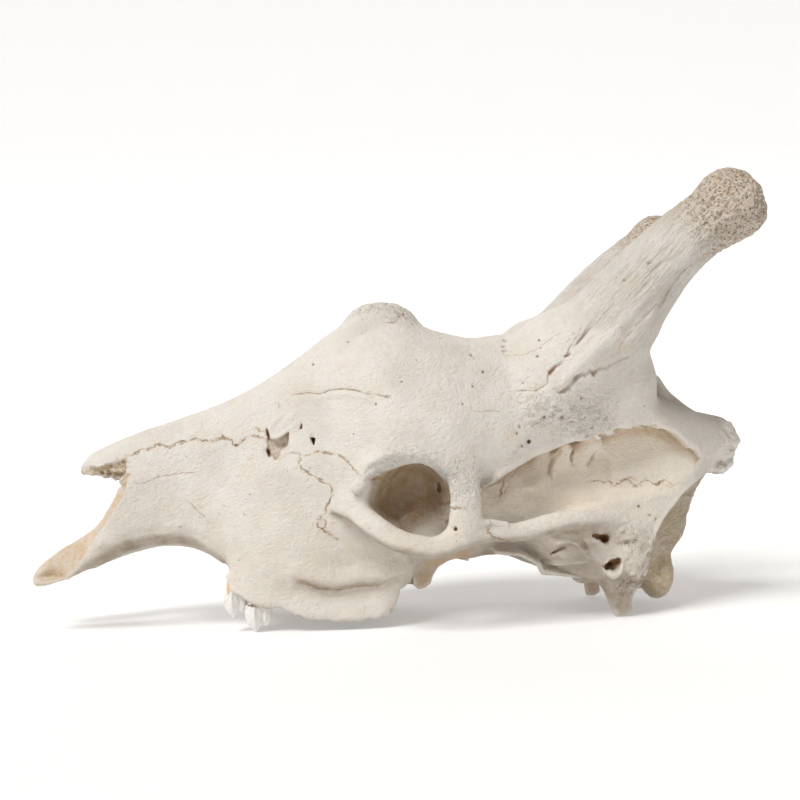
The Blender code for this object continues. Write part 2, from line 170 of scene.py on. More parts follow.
# A block of distances to a surface in millimetres, below zero inside it
class DistanceBlock:
    def __init__(self, voxel, low, high, outside):
        self.voxel = voxel
        self.low = np.floor(np.array(low, float) / voxel).astype(int)
        size = np.ceil(np.array(high, float) / voxel).astype(int) - self.low + 1
        self.field = np.full(size, outside, np.float32)

    def window(self, low, high):
        first = np.maximum(np.floor(np.array(low, float) / self.voxel).astype(int) - self.low, 0)
        last = np.ceil(np.array(high, float) / self.voxel).astype(int) + 1 - self.low
        last = np.maximum(np.minimum(last, self.field.shape), first)
        x, y, z = ((self.low[a] + np.arange(first[a], last[a], dtype=np.float32)) * self.voxel for a in range(3))
        where = tuple(slice(f, l) for f, l in zip(first, last))
        return where, x[:, None, None], y[None, :, None], z[None, None, :]

    def join(self, shape, blend=2.0):
        # adds a shape with a rounded seam
        distance, low, high = shape
        where, x, y, z = self.window(np.subtract(low, blend + 3), np.add(high, blend + 3))
        a, b = self.field[where], distance(x, y, z)
        h = np.maximum(blend - np.abs(a - b), 0)
        self.field[where] = np.minimum(a, b) - h * h / (4 * blend)

    def carve(self, shape, blend=1.0):
        # takes a shape away with a rounded edge
        distance, low, high = shape
        where, x, y, z = self.window(np.subtract(low, blend + 3), np.add(high, blend + 3))
        a, b = self.field[where], -distance(x, y, z)
        h = np.maximum(blend - np.abs(a - b), 0)
        self.field[where] = np.maximum(a, b) + h * h / (4 * blend)

    def blur(self, width):
        self.field = blurred(self.field, width / self.voxel)

    def near(self, reach):
        # the cells within reach of the surface, as indices and places
        cells = np.nonzero(np.abs(self.field) < reach)
        spots = np.stack([(self.low[a] + cells[a]).astype(np.float32) * self.voxel for a in range(3)], axis=1)
        return cells, spots

    def onSide(self, x, z, side, missing=60.0):
        # y of the first surface met from outside, on the left (-1) or right (1) at x and z
        i, k = (int(np.clip(round(v / self.voxel) - self.low[a], 0, self.field.shape[a] - 1))
                for a, v in ((0, x), (2, z)))
        line = self.field[i, ::-side, k]
        inside = np.nonzero(line < 0)[0]
        if not len(inside):
            return side * missing
        first = max(int(inside[0]), 1)
        spot = first - 1 + float(line[first - 1] / (line[first - 1] - line[first]))
        if side > 0:
            spot = len(line) - 1 - spot
        return (self.low[1] + spot) * self.voxel

    def polygons(self, adaptivity):
        grid = openvdb.FloatGrid(float(self.field.max()))
        grid.copyFromArray(self.field, ijk=tuple(int(v) for v in self.low))
        grid.transform = openvdb.createLinearTransform(voxelSize=self.voxel)
        return grid.convertToPolygons(isovalue=0.0, adaptivity=adaptivity)


def blurred(field, width):
    # a soft blur, with the width in cells
    reach = max(1, int(math.ceil(width * 2.2)))
    weights = np.exp(-0.5 * (np.arange(-reach, reach + 1) / width) ** 2)
    weights = (weights / weights.sum()).astype(np.float32)
    for axis in range(3):
        padded = np.pad(field, [(reach, reach) if a == axis else (0, 0) for a in range(3)], mode="edge")
        count = field.shape[axis]
        field = np.zeros_like(field)
        for k, weight in enumerate(weights):
            part = [slice(None)] * 3
            part[axis] = slice(k, k + count)
            field += weight * padded[tuple(part)]
    return field


def blockOf(thing, voxel, rounding):
    # a CAD solid as a distance block. Its facets are rounded by subdivision first.
    bm = bmesh.new()
    bm.from_mesh(thing.data)
    bmesh.ops.remove_doubles(bm, verts=bm.verts, dist=1e-6)
    mesh = bpy.data.meshes.new("rounded copy")
    bm.to_mesh(mesh)
    bm.free()
    copy = place("rounded copy", mesh)
    finer = copy.modifiers.new("round the facets", "SUBSURF")
    finer.levels = finer.render_levels = rounding
    evaluated = copy.evaluated_get(bpy.context.evaluated_depsgraph_get())
    fine = evaluated.to_mesh()
    fine.calc_loop_triangles()
    points = readAll(fine.vertices, "co") * perMetre
    faces = readAll(fine.loop_triangles, "vertices", kind=np.int32).astype(np.uint32)
    evaluated.to_mesh_clear()
    bpy.data.objects.remove(copy)
    transform = openvdb.createLinearTransform(voxelSize=voxel)
    grid = openvdb.FloatGrid.createLevelSetFromPolygons(points, triangles=faces, transform=transform, halfWidth=5.0)
    block = DistanceBlock(voxel, points.min(0) - 9, points.max(0) + 9, 5.0 * voxel)
    grid.copyToArray(block.field, ijk=tuple(int(v) for v in block.low))
    return block


# Shapes, each as (distance function, lowest corner, highest corner)
def smoothLine(points, steps=4):
    # extra points on a curve through the given rows of numbers
    rows = np.array(points, float)
    padded = np.vstack([2 * rows[0] - rows[1], rows, 2 * rows[-1] - rows[-2]])
    found = []
    for i in range(len(rows) - 1):
        p0, p1, p2, p3 = padded[i:i + 4]
        for t in np.arange(steps) / steps:
            found.append(0.5 * (2 * p1 + (p2 - p0) * t + (2 * p0 - 5 * p1 + 4 * p2 - p3) * t * t
                                + (3 * p1 - p0 - 3 * p2 + p3) * t ** 3))
    found.append(rows[-1])
    return np.array(found)


def bar(points, steps=4, squeeze=None):
    # a rounded bar through rows of x, y, z and radius. Squeeze (x, y, z) makes it thinner that way.
    line = smoothLine(points, steps) if steps > 1 and len(points) > 2 else np.array(points, float)
    stretch = np.ones(3) if squeeze is None else np.array(squeeze, float)
    middle = line[:, :3].mean(0)
    centres = (line[:, :3] - middle) * stretch

    def distance(x, y, z):
        x, y, z = (x - middle[0]) * stretch[0], (y - middle[1]) * stretch[1], (z - middle[2]) * stretch[2]
        best = None
        for k in range(len(line) - 1):
            a, d = centres[k], centres[k + 1] - centres[k]
            square = max(float(d @ d), 1e-9)
            t = np.clip(((x - a[0]) * d[0] + (y - a[1]) * d[1] + (z - a[2]) * d[2]) / square, 0, 1)
            away = np.sqrt((x - a[0] - t * d[0]) ** 2 + (y - a[1] - t * d[1]) ** 2 + (z - a[2] - t * d[2]) ** 2)
            here = away - (line[k, 3] + (line[k + 1, 3] - line[k, 3]) * t)
            best = here if best is None else np.minimum(best, here)
        return best.astype(np.float32)

    reach = line[:, 3:4] / np.minimum(stretch, 1)
    return distance, (line[:, :3] - reach).min(0), (line[:, :3] + reach).max(0)


def ball(centre, radii):
    def distance(x, y, z):
        x, y, z = x - centre[0], y - centre[1], z - centre[2]
        k0 = np.sqrt((x / radii[0]) ** 2 + (y / radii[1]) ** 2 + (z / radii[2]) ** 2)
        k1 = np.sqrt((x / radii[0] ** 2) ** 2 + (y / radii[1] ** 2) ** 2 + (z / radii[2] ** 2) ** 2)
        return (k0 * (k0 - 1) / np.maximum(k1, 1e-6)).astype(np.float32)

    return distance, np.subtract(centre, radii), np.add(centre, radii)


def roundBox(low, high, radius):
    centre, half = (np.array(low) + high) / 2, (np.array(high) - low) / 2 - radius

    def distance(x, y, z):
        parts = [np.abs(v - centre[a]) - half[a] for a, v in enumerate((x, y, z))]
        outer = np.sqrt(sum(np.maximum(p, 0) ** 2 for p in parts))
        inner = np.minimum(np.maximum(np.maximum(parts[0], parts[1]), parts[2]), 0)
        return (outer + inner - radius).astype(np.float32)

    return distance, np.array(low), np.array(high)


def insideOutline(outline, ragged=0.0):
    # signed distance in x and z to a many-sided outline, below zero inside it
    corners = np.array(outline, float)

    def flat(x, z):
        best, inside = None, None
        for k in range(len(corners)):
            a, b = corners[k - 1], corners[k]
            d = b - a
            t = np.clip(((x - a[0]) * d[0] + (z - a[1]) * d[1]) / float(d @ d), 0, 1)
            away = (x - a[0] - t * d[0]) ** 2 + (z - a[1] - t * d[1]) ** 2
            best = away if best is None else np.minimum(best, away)
            crosses = ((a[1] > z) != (b[1] > z)) & (x < (b[0] - a[0]) * (z - a[1]) / (b[1] - a[1] + 1e-9) + a[0])
            inside = crosses if inside is None else inside ^ crosses
        distance = np.where(inside, -np.sqrt(best), np.sqrt(best))
        if ragged:
            u, v = np.broadcast_arrays(x, z)
            spots = np.stack([u.ravel(), np.zeros(u.size), v.ravel()], axis=1).astype(np.float32)
            noise = 0.7 * softNoise(spots, 6, 61) + 0.6 * softNoise(spots, 3, 62)
            distance = distance + ragged * noise.reshape(distance.shape)
        return distance

    return flat, corners.min(0), corners.max(0)


def flatHole(outline, y, depth):
    # a hole with a many-sided outline in x and z, centred on y
    flat, low, high = insideOutline(outline)

    def distance(x, yy, z):
        return np.maximum(flat(x, z), np.abs(yy - y) - depth).astype(np.float32)

    return distance, np.array((low[0], y - depth, low[1])), np.array((high[0], y + depth, high[1]))


def cutBack(outline, side, width, ragged=0.0):
    # takes away what stands further from the middle than width(x, z, inset), inside an outline in x and z
    flat, low, high = insideOutline(outline, ragged)

    def distance(x, y, z):
        d = flat(x, z)
        return np.maximum(d, width(x, z, -d) - side * y).astype(np.float32)

    ends = sorted((side * 4, side * 132))
    return distance, np.array((low[0], ends[0], low[1])), np.array((high[0], ends[1], high[1]))


# Random relief that is the same on every run
waveSize = 48  # the table of random values repeats after so many cells
waves = np.random.default_rng(11).random((waveSize, waveSize, waveSize), dtype=np.float32) * 2 - 1


def softNoise(spots, size, seed=0):
    # smooth waves from -1 to 1 whose bumps are about size mm across, or a size for each axis
    p = spots / np.asarray(size, np.float32) + np.float32(seed * 7.31 + 100)
    cell = np.floor(p).astype(np.int32)
    f = (p - cell).astype(np.float32)
    f = f * f * (3 - 2 * f)
    low, high = cell % waveSize, (cell + 1) % waveSize
    flat = waves.ravel()
    total = np.zeros(len(spots), np.float32)
    for i in (0, 1):
        ix = (high if i else low)[:, 0] * waveSize ** 2
        fx = f[:, 0] if i else 1 - f[:, 0]
        for j in (0, 1):
            iy = (high if j else low)[:, 1] * waveSize
            fy = f[:, 1] if j else 1 - f[:, 1]
            for k in (0, 1):
                fz = f[:, 2] if k else 1 - f[:, 2]
                total += flat[ix + iy + (high if k else low)[:, 2]] * fx * fy * fz
    return total


def cellNoise(spots, size, seed=0):
    # distance to the nearest of scattered points, one in each cell, from 0 to about 1
    p = spots / np.float32(size) + np.float32(seed * 3.7 + 100)
    cell = np.floor(p).astype(np.int32)
    flat = waves.ravel()
    best = np.full(len(spots), 9.0, np.float32)
    for i in (-1, 0, 1):
        for j in (-1, 0, 1):
            for k in (-1, 0, 1):
                c = cell + (i, j, k)
                key = (c[:, 0] * 73 + c[:, 1] * 179 + c[:, 2] * 283 + seed * 31) % 110000
                away = sum((c[:, a] + 0.5 + 0.42 * flat[(key + a * 137) % flat.size] - p[:, a]) ** 2
                           for a in range(3))
                best = np.minimum(best, away)
    return np.sqrt(best)


def ramp(value, low, high):
    t = np.clip((value - low) / (high - low), 0, 1)
    return t * t * (3 - 2 * t)


def toLeft(spots):
    # the right side's places mirrored onto the left
    return np.where(spots[:, 1:2] < 0, spots, spots * (1, -1, 1)).astype(np.float32)


def nearLine(spots, points, full, fade):
    # 1 within full mm of a line through the points, and 0 beyond fade mm
    line = np.array(points, np.float32)
    best = np.full(len(spots), 1e9, np.float32)
    for a, b in zip(line, line[1:]):
        d = b - a
        t = np.clip((spots - a) @ d / float(d @ d), 0, 1)
        best = np.minimum(best, ((spots - a - t[:, None] * d) ** 2).sum(1))
    return 1 - ramp(np.sqrt(best), full, fade)


def flip(points, side):
    # rows of x, half width, z and radius, put on one side
    return [(p[0], side * p[1]) + tuple(p[2:]) for p in points]


# The cranium
bone = {
    "voxel": 1.35,
    "quickVoxel": 2.4,
    "smoothing": 2.1,
    "triangles": 196000,
    # lower edge of the thin, broken outer wall that held the molars, as x and z
    "wallEdge": [(-164, 52), (-161, 43), (-157, 36), (-150, 33), (-144, 29.5), (-138, 26.5), (-132, 23.5), (-124, 22),
                 (-117, 20), (-110, 17.5), (-97, 17), (-92, 12), (-88, 9), (-78, 9), (-70, 11), (-60, 7.5), (-51, 8),
                 (-42, 6.5), (-30, 7), (-16, 8), (-9, 14), (-5, 26), (0, 36), (9, 42), (12, 44)],
    "edgeRoughness": 1.8,
    "wallTop": 62,  # the broken edge is cut only below this height
    "wallInside": 30,  # and only further from the middle than this
    "sockets": [(-121, -99), (-95, -71), (-67, -43), (-39, -15)],
    "socketSides": (46.0, 65.0),
    "socketRoof": 36.0,
    # line where the cheek bulges over the tooth-bearing wall
    "cheekLine": [(-104, 53), (-95, 48), (-86, 44), (-76, 40.5), (-61, 39.5), (-50, 41), (-40, 42), (-27, 42),
                  (-15, 44), (-4, 48)],
    # ridge between the striped outside and the flat tan front of the upper jaw
    "noseRidge": [(-255, 150), (-255, 142), (-261, 128), (-269, 116), (-276, 106), (-284, 96), (-293, 83), (-299, 73),
                  (-304, 66), (-309, 61), (-316, 54.5)],
    # spongy underside of the nose tip
    "tornNose": [(-304, 155.5), (-292.5, 157.5), (-283.5, 158), (-270.6, 162.4), (-259.6, 166.5), (-257, 169),
                 (-257, 139), (-272, 139), (-304, 147)],
    # lower edge of the muzzle, where its side starts to roll inwards
    "rollLine": [(-306, 66), (-298, 72), (-276, 86), (-257, 94), (-232, 97), (-205, 98), (-191, 93), (-178, 84),
                 (-166, 74)],
    "keel": [(-290, 28, 66, 3), (-275, 28, 72, 3), (-257, 31, 78, 3), (-232, 32, 84, 3), (-205, 34, 83.5, 3),
             (-190, 37, 79.5, 3), (-178, 41, 74.5, 3), (-168, 44, 68, 3)],
    # front rim of the temple hollow, from the cheek bar up to the torn crest, as x, z and half width
    "templeRim": [(72.5, 112, 111), (74.5, 121, 108), (78.5, 130, 104), (86, 137.5, 101), (97, 144.2, 99),
                  (111.3, 151.4, 97), (127.9, 159.4, 94), (142.5, 164.7, 91), (157.3, 170, 88), (169.9, 173.5, 86)],
    # sharp crest between the side of the head and the neck face
    "neckCrest": [(304, 133), (291, 127), (276, 117), (259, 100), (248, 85), (243, 74), (241, 56), (235, 41)],
    # horn: x, half width, z of its axis
    "hornAxis": [(140, 52, 222), (194, 67, 267), (244, 84, 331), (291, 94, 372), (318, 98, 391)],
    "knobMiddle": (318, 98, 391),
    "knobShift": (-6, 0, -13),  # of the right horn's tip
    "knobRadius": 36,
    # the furrows run along the left horn, and are so many times longer than wide
    "hornGrain": (0.712, -0.179, 0.679),
    "acrossGrain": (-0.69, 0.0, 0.724),
    "grainStretch": 9,
    # vessel holes of forehead, brow, horn root and temple as x, z and radius
    "pores": [(118, 173, 2.5), (132, 195, 1.4), (106, 181, 1.0), (102, 164, 1.0), (111, 169, 0.9), (53, 137, 1.1),
              (149, 195, 1.0), (45, 97, 2.2), (68, 254, 1.2), (77, 238, 1.4), (103, 268, 0.9), (100, 262, 1.0),
              (99, 258, 0.9), (127, 251, 1.1), (130, 266, 1.1), (113, 227, 1.0), (66, 225, 0.8), (177, 232, 1.0),
              (166, 212, 1.0), (230, 334, 1.2), (208, 319, 0.9), (-78, 250, 1.1), (-45, 270, 0.9), (42, 272, 1.1),
              (55, 209, 0.8), (-23, 211, 1.0), (1, 231, 0.9), (-165, 185, 1.0), (-152, 176, 1.2), (228, 107, 1.6),
              (238, 98, 1.0), (244, 94, 0.9), (108, 187, 0.9), (122, 187, 0.8)],
    # torn upper edge of the temple hollow, from the front to the back
    "crestEdge": [(176, 172), (183, 178), (192, 179), (197, 177), (202, 181), (211, 183), (220, 184), (227, 185),
                  (235, 184), (242, 185), (252, 182), (261, 179), (269, 173), (274, 169), (281, 163), (290, 158)],
}


def onSideLine(block, side, points, sink, radius=1.0):
    # rows of x, z (and radius) laid on the skull's side, with their centres sunk below the surface
    rows = []
    for x, z, *own in points:
        rows.append((x, block.onSide(x, z, side) - side * sink, z, own[0] if own else radius))
    return rows


def joinBar(block, side, points, blend, steps=4):
    # adds a bar given as x, half width, z and radius
    block.join(bar(flip(points, side), steps), blend)


def carveBar(block, side, points, blend, steps=4):
    block.carve(bar(flip(points, side), steps), blend)


def joinLine(block, side, points, sink, blend, radius=1.0):
    # adds a bar given as x, z (and radius) that follows the skull's side
    block.join(bar(onSideLine(block, side, points, sink, radius)), blend)


def carveLine(block, side, points, sink, blend, radius=1.0, steps=4):
    block.carve(bar(onSideLine(block, side, points, sink, radius), steps), blend)


def carveSlit(block, side, points, steps=1):
    # a narrow gap that goes straight in
    rows = onSideLine(block, side, points, sink=0.0)
    for depth in (0, 2, 4):
        block.carve(bar([(x, y - side * depth, z, r) for x, y, z, r in rows], steps), 0.5)


def tipWidth(x, z):
    # half width of the torn underside of the nose tip
    return 11.8 + 0.318 * x + 0.6 * z


def sculptFace(block):
    for side in sides:
        # the cheek swells above its line, and the wall below is a little sunk
        line = bone["cheekLine"]
        joinLine(block, side, [(x, z + 11) for x, z in line[1:]], sink=11.2, blend=6.0, radius=12.0)
        carveLine(block, side, [(x, z - 9) for x, z in line[1:]], sink=-8.9, blend=4.0, radius=10.0)
        carveLine(block, side, [(x, z) for x, z in line[1:-1]], sink=0.2, blend=0.8, radius=0.9)
        # behind, the cheek's wall turns inwards
        heights = [10, 20, 30, 40, 50, 60]
        walls = [abs(block.onSide(-12, z, side)) for z in heights]
        turned = [(-12, 4), (-12, 40), (-4, 50), (8, 58), (28, 66), (44, 66), (44, 4)]
        block.carve(cutBack(turned, side, lambda x, z, inset: np.interp(z, heights, walls) + 0.4
                            - 0.9 * np.maximum(x + 8 - 0.45 * (z - 10), 0)), 2.0)
        # spiked end of the bone behind the palate
        spike = [(-2, 36.5), (13.4, 34.4), (16.6, 30.9), (23.2, 26.2), (26.6, 27.2), (27.8, 31.6), (31.3, 34.8),
                 (32.6, 41.4), (38.4, 50.1), (49.8, 56.3), (62, 58)]
        block.carve(cutBack([(-2, 8)] + spike + [(62, 8)], side, lambda x, z, inset: 16 + 0 * inset), 1.0)
        # flat bevel at the front of the upper jaw, inside a sharp ridge
        ridge = bone["noseRidge"]
        rows = onSideLine(block, side, ridge, sink=2.0, radius=2.6)
        block.join(bar(rows), 2.0)
        heights, widths = [r[2] for r in rows[::-1]], [abs(r[1]) + 1.8 for r in rows[::-1]]
        front = [(-252, 152), *ridge[1:], (-322, 46), (-366, 46), (-366, 100), (-300, 152)]
        block.carve(cutBack(front, side, lambda x, z, inset: np.interp(z, heights, widths) - 1.0 * inset
                            + 0.018 * np.minimum(inset, 20) ** 2), 0.9)
        # torn, spongy underside of the nose tip, in front of the upper jaw's straight edge
        for x, z, w, r in ((-296, 155, 4, 3.2), (-290, 155.5, 6, 5.0), (-281, 156, 8, 7.5), (-271, 157, 10, 9.5),
                           (-261, 158, 13, 10.5), (-251, 158, 16, 10.0)):
            block.join(ball((x, side * w, z), (r + 4, r, r)), 3.0)
        block.carve(cutBack(bone["tornNose"], side, lambda x, z, inset: tipWidth(x, z), 0.8), 0.9)
        lumps = ((-300, 153.6, 3.2), (-293, 151.8, 3.2), (-286, 150.5, 3.0), (-280, 148.8, 3.6), (-273, 148, 3.2),
                 (-267, 146.8, 3.8), (-261, 146.5, 3.4), (-262, 155, 3.4), (-271, 155, 3.2), (-279, 154, 2.8))
        for x, z, r in lumps:
            block.join(ball((x, side * (tipWidth(x, z) - 1.0), z), (r * 1.2, r, r * 0.8)), 1.5)
        for x, z, r in ((-289, 154.5, 1.6), (-283, 151.5, 1.8), (-276, 151, 2.0), (-269, 151, 1.9), (-264, 150.5, 2.2),
                        (-266, 160, 1.8), (-274, 158, 1.6), (-261, 162, 1.7)):
            block.carve(ball((x, side * (tipWidth(x, z) + 0.6), z), (r * 1.3, 3.4, r)), 0.8)
        joinBar(block, side, [(-252, 27, 150, 5.0), (-258, 26, 146, 4.0), (-263, 25, 143.5, 2.4)], blend=2.5)
        joinBar(block, side, [(-252, 30, 142, 5.0), (-259, 27, 141, 3.6), (-263, 25, 140, 2.4)], blend=2.5)
        # slot and pits near the tip of the upper jaw
        for pit in ([(-341, 54.5, 0.7), (-335, 56, 1.1), (-329, 56, 0.7)], [(-322, 55, 0.6), (-317, 57, 0.6)]):
            carveLine(block, side, pit, sink=-0.1, blend=0.6)
        # the lower edge of the muzzle rolls inwards
        roll = bone["rollLine"]
        widths = [abs(block.onSide(x, z, side)) for x, z in roll]
        below = roll + [(-166, 20), (-230, 20), (-306, 20)]
        block.carve(cutBack(below, side, lambda x, z, inset: np.interp(x, [p[0] for p in roll], widths) + 0.3
                            - 0.12 * inset - 0.055 * np.minimum(inset, 14) ** 2), 2.5)
        joinBar(block, side, bone["keel"], blend=4.0)
        # bone that wraps the roots of the premolars
        joinBar(block, side, [(-158, 53, 50, 7.5), (-157, 53.5, 43, 6.8), (-155, 54, 39, 5.0)], blend=4.0)
        joinBar(block, side, [(-140, 54, 42, 8.5), (-135, 54.5, 34, 8.0), (-131, 55, 30, 7.0)], blend=4.0)
        for rows in ([(-156, 59, 41, 3.4), (-150, 60, 37, 3.6), (-144, 60.5, 33, 3.6), (-138, 61, 30, 3.6),
                      (-131, 61.5, 27, 3.4), (-124, 61.5, 25.5, 3.0)],
                      [(-149, 55, 42, 5.0), (-146, 57, 36, 4.0), (-142, 59, 31, 3.0)]):
            joinBar(block, side, rows, blend=3.0)
        # crack across the forehead's side, with a raised edge under it
        crack = [(-100, 222, 0.5), (-92, 222.5, 0.8), (-84, 223.5, 0.9), (-73, 222, 0.9), (-63, 225, 1.0),
                 (-54, 226, 1.1), (-43, 225, 1.0), (-36, 223, 0.9), (-29, 221, 1.0), (-22, 220, 1.1), (-15, 218, 1.7),
                 (-10, 217, 1.9)]
        joinLine(block, side, [(x, z - 4.5) for x, z, r in crack[1:9]], sink=2.9, blend=3.0, radius=4.0)
        carveLine(block, side, crack, sink=0.4, blend=0.7)
        # broken hole: a shallow step with a deeper gap at its top, and the curled flake over it
        y = block.onSide(-113, 185, side)
        hole = [(-124, 181), (-114, 180), (-108, 183), (-103, 188), (-103, 179), (-105, 170), (-110, 165), (-115, 161),
                (-119, 166), (-124, 169), (-122, 175)]
        block.carve(flatHole(hole, y, 3.4), 0.9)
        gap = [(-121, 181), (-114, 181), (-108, 184), (-103, 189), (-104, 178), (-108, 173), (-117, 173)]
        block.carve(flatHole(gap, y, 5.6), 1.6)
        flake = [(-126, 184, 1.2), (-121, 182.5, 1.6), (-114, 182.5, 1.9), (-109, 185, 1.9), (-103, 189, 1.6),
                 (-96, 193, 1.0)]
        block.join(bar([(x, block.onSide(x, z + 6, side) + side * 0.9, z, r) for x, z, r in flake]), 1.4)
        for fold in ([(-122, 188), (-116, 196), (-108, 203)], [(-112, 188), (-106, 196), (-100, 201)]):
            joinLine(block, side, fold, sink=1.0, blend=2.5, radius=2.0)
        for slit in ([(-123, 190, 0.8), (-122, 185, 1.2), (-121, 181, 0.8)], [(-123, 171, 1.0), (-121, 165, 1.2)],
                     [(-82, 181, 0.3), (-80, 180, 1.9), (-78, 178.6, 0.3)],
                     [(-80.6, 186, 0.4), (-80, 180.5, 2.0), (-79.4, 174.5, 0.4)],
                     [(-90, 195, 0.8), (-91, 190, 0.7)]):
            carveSlit(block, side, slit)
        # vessel holes of forehead, brow, horn root and temple
        for x, z, r in bone["pores"]:
            y = block.onSide(x, z, side)
            block.carve(bar([(x, y + side * 2, z, r), (x, y - side * (0.6 + 0.9 * r), z, r * 0.7)], 1), 0.5)


def sculptOrbit(block):
    for side in sides:
        # notch and tubercle of the tear duct on the front rim, and the sunk bone round them
        carveBar(block, side, [(-46, 111, 147, 4.0), (-36, 113, 150, 5.0), (-24, 114, 156, 4.0), (-8, 116, 161, 3.0)],
                 blend=4.0)
        carveBar(block, side, [(-34, 112, 142, 3.0), (-28, 104, 142, 3.6), (-20, 94, 141, 4.0)], blend=4.0)
        block.join(ball((-43, side * 103.5, 136), (6, 4, 5)), 5.0)
        # nerve hole in the wall, and folds of the thin bone low in front
        block.carve(bar(flip([(31, 76, 137, 4.5), (35, 62, 132, 4.0), (42, 50, 129, 3.5)], side), 4,
                        squeeze=(1, 1, 0.75)), 1.5)
        for x, lean, thick in ((-22, 4, 3.0), (-13, 3, 3.6), (-4, 2, 3.0), (6, 2, 3.6), (15, 1, 2.6)):
            fold = []
            for z, share in ((92, 1.0), (100, 1.0), (110, 0.9), (120, 0.7), (130, 0.4)):
                w = block.onSide(x + lean * (z - 92) / 30, z, side)
                fold.append((x + lean * (z - 92) / 30, w - side * thick * (1.25 - 0.45 * share), z, thick * share))
            if max(abs(f[1]) for f in fold) < 92:
                block.join(bar(fold), 4.0)
        # broad smooth lower rim, which rolls over above the cheek
        rim = [(-62, 84, 117, 4.5), (-46, 94, 111, 6.5), (-30, 102, 100, 7.5), (-12, 108, 88, 8.0), (8, 110, 81, 8.0),
               (30, 112, 78, 7.0), (50, 111, 84, 5.0)]
        joinBar(block, side, rim, blend=5.0)
        under = [(-58, 92, 92, 5), (-42, 100, 84, 6), (-26, 106, 73, 6.5), (-8, 110, 62, 6.5), (12, 113, 57, 6)]
        carveBar(block, side, under, blend=6.0)


def sculptTemple(block):
    edge = bone["crestEdge"]
    rim = bone["templeRim"]
    low = [(293, 150), (291, 144), (280, 138), (262, 130), (200, 124), (150, 122), (110, 112), (90, 106), (72, 106)]
    for side in sides:
        # rolled front rim of the hollow, and the torn crest that hangs over its back part
        rolled = [(x - 1, abs(block.onSide(x - 2, z + 7, side)) - 4.0, z + 3.6, 4.4) for x, z, w in rim[1:]]
        joinBar(block, side, rolled, blend=3.0)
        y = [abs(block.onSide(x, z + 6, side)) for x, z in edge]
        row = [(x, w - 2.6, z + 2.6, 2.6) for (x, z), w in zip(edge, y)]
        joinBar(block, side, row, blend=2.0)
        walls = ([74, 95, 120, 160, 200, 260, 300], [54, 54, 55.5, 57, 58, 57.5, 56])
        front = [(x, z) for x, z, w in rim] + [(178, 172), (190, 170), (204, 150), (204, 124)] + low[5:]
        back = [(150, 158), (168, 171)] + edge + low[:5] + [(150, 122)]
        for hollow, ragged in ((front, 0.0), (back, 2.0)):
            block.carve(cutBack(hollow, side, lambda x, z, inset: np.interp(x, *walls) + 0.22 * (150 - z)
                                + 0.008 * np.maximum(140 - z, 0) ** 2 - 3.0 * (1 - ramp(inset, 3, 15)), ragged), 1.0)
        flakes = [(172, 173.5, 6.0, 1.6, 0.1), (178, 170, 5.0, 1.3, 0.5), (185, 174.5, 4.0, 1.4, -0.3),
                  (199, 178, 6.0, 1.3, 0.3), (213, 182.5, 7.0, 1.3, 0.1), (229, 183, 6.0, 1.4, -0.1),
                  (243, 182.5, 6.0, 1.3, -0.3), (258, 179.5, 7.0, 1.3, -0.4), (272, 171.5, 6.0, 1.3, -0.6)]
        for x, z, length, thin, lean in flakes:
            rows = []
            for t in (-1, -0.4, 0.3, 1):
                u, v = x + length * t, z + lean * length * t + 0.7 * math.sin(5 * t + x)
                rows.append((u, abs(block.onSide(u, z + 8, side)) - 1.6, v, thin * (1.1 - 0.7 * abs(t))))
            joinBar(block, side, rows, blend=1.6, steps=2)
        # folds of the wall behind the front rim
        for fold in ([(140, 55, 160, 6.5), (134, 50.5, 149, 7), (130, 48, 135, 6)],
                     [(161, 55, 162, 7), (157, 50, 150, 8), (157, 47, 134, 7)],
                     [(188, 55, 168, 9), (180, 51, 157, 9), (176, 47, 143, 7)]):
            joinBar(block, side, fold, blend=7.0)
        for gap in ([(156, 161, 1.2), (149.4, 154.1, 1.6), (146.1, 146.2, 2.0), (145.3, 140.2, 1.9),
                     (147.2, 134.6, 1.2)],
                    [(172.3, 168, 1.5), (169.1, 161.6, 1.3), (166.9, 157.6, 1.3), (167.3, 151.6, 1.3),
                     (169.2, 146, 0.6)],
                    [(196, 166, 1.2), (191, 159, 1.8), (187, 153, 1.8), (182, 147, 1.2)]):
            rows = onSideLine(block, side, gap, sink=0.8)
            block.carve(bar(rows), 1.2)
            block.carve(bar([(x, y - side * 1.2, z, r * 0.75) for x, y, z, r in rows[1:-1]]), 1.0)
        # low swelling along the floor of the hollow, which the brain made
        joinBar(block, side, [(128, 50, 126, 9), (170, 51, 122, 10), (215, 53, 118, 10), (245, 54, 116, 8)], blend=8.0)
        # lipped joint of the two halves of the cheek bar
        carveBar(block, side, [(74, 118, 108, 3.0), (76, 106, 105, 3.0), (78, 96, 106, 3.0)], blend=1.5, steps=1)
        joinBar(block, side, [(66, 113, 103, 3.0), (72, 112, 101, 3.4), (80, 109, 101, 3.0), (92, 106, 98, 3)],
                blend=3.0)
        # joint hollow for the lower jaw under the root of the cheek bar
        carveBar(block, side, [(126, 96, 76, 6), (138, 90, 79, 8), (150, 84, 80, 8), (160, 84, 78, 5)], blend=4.0)


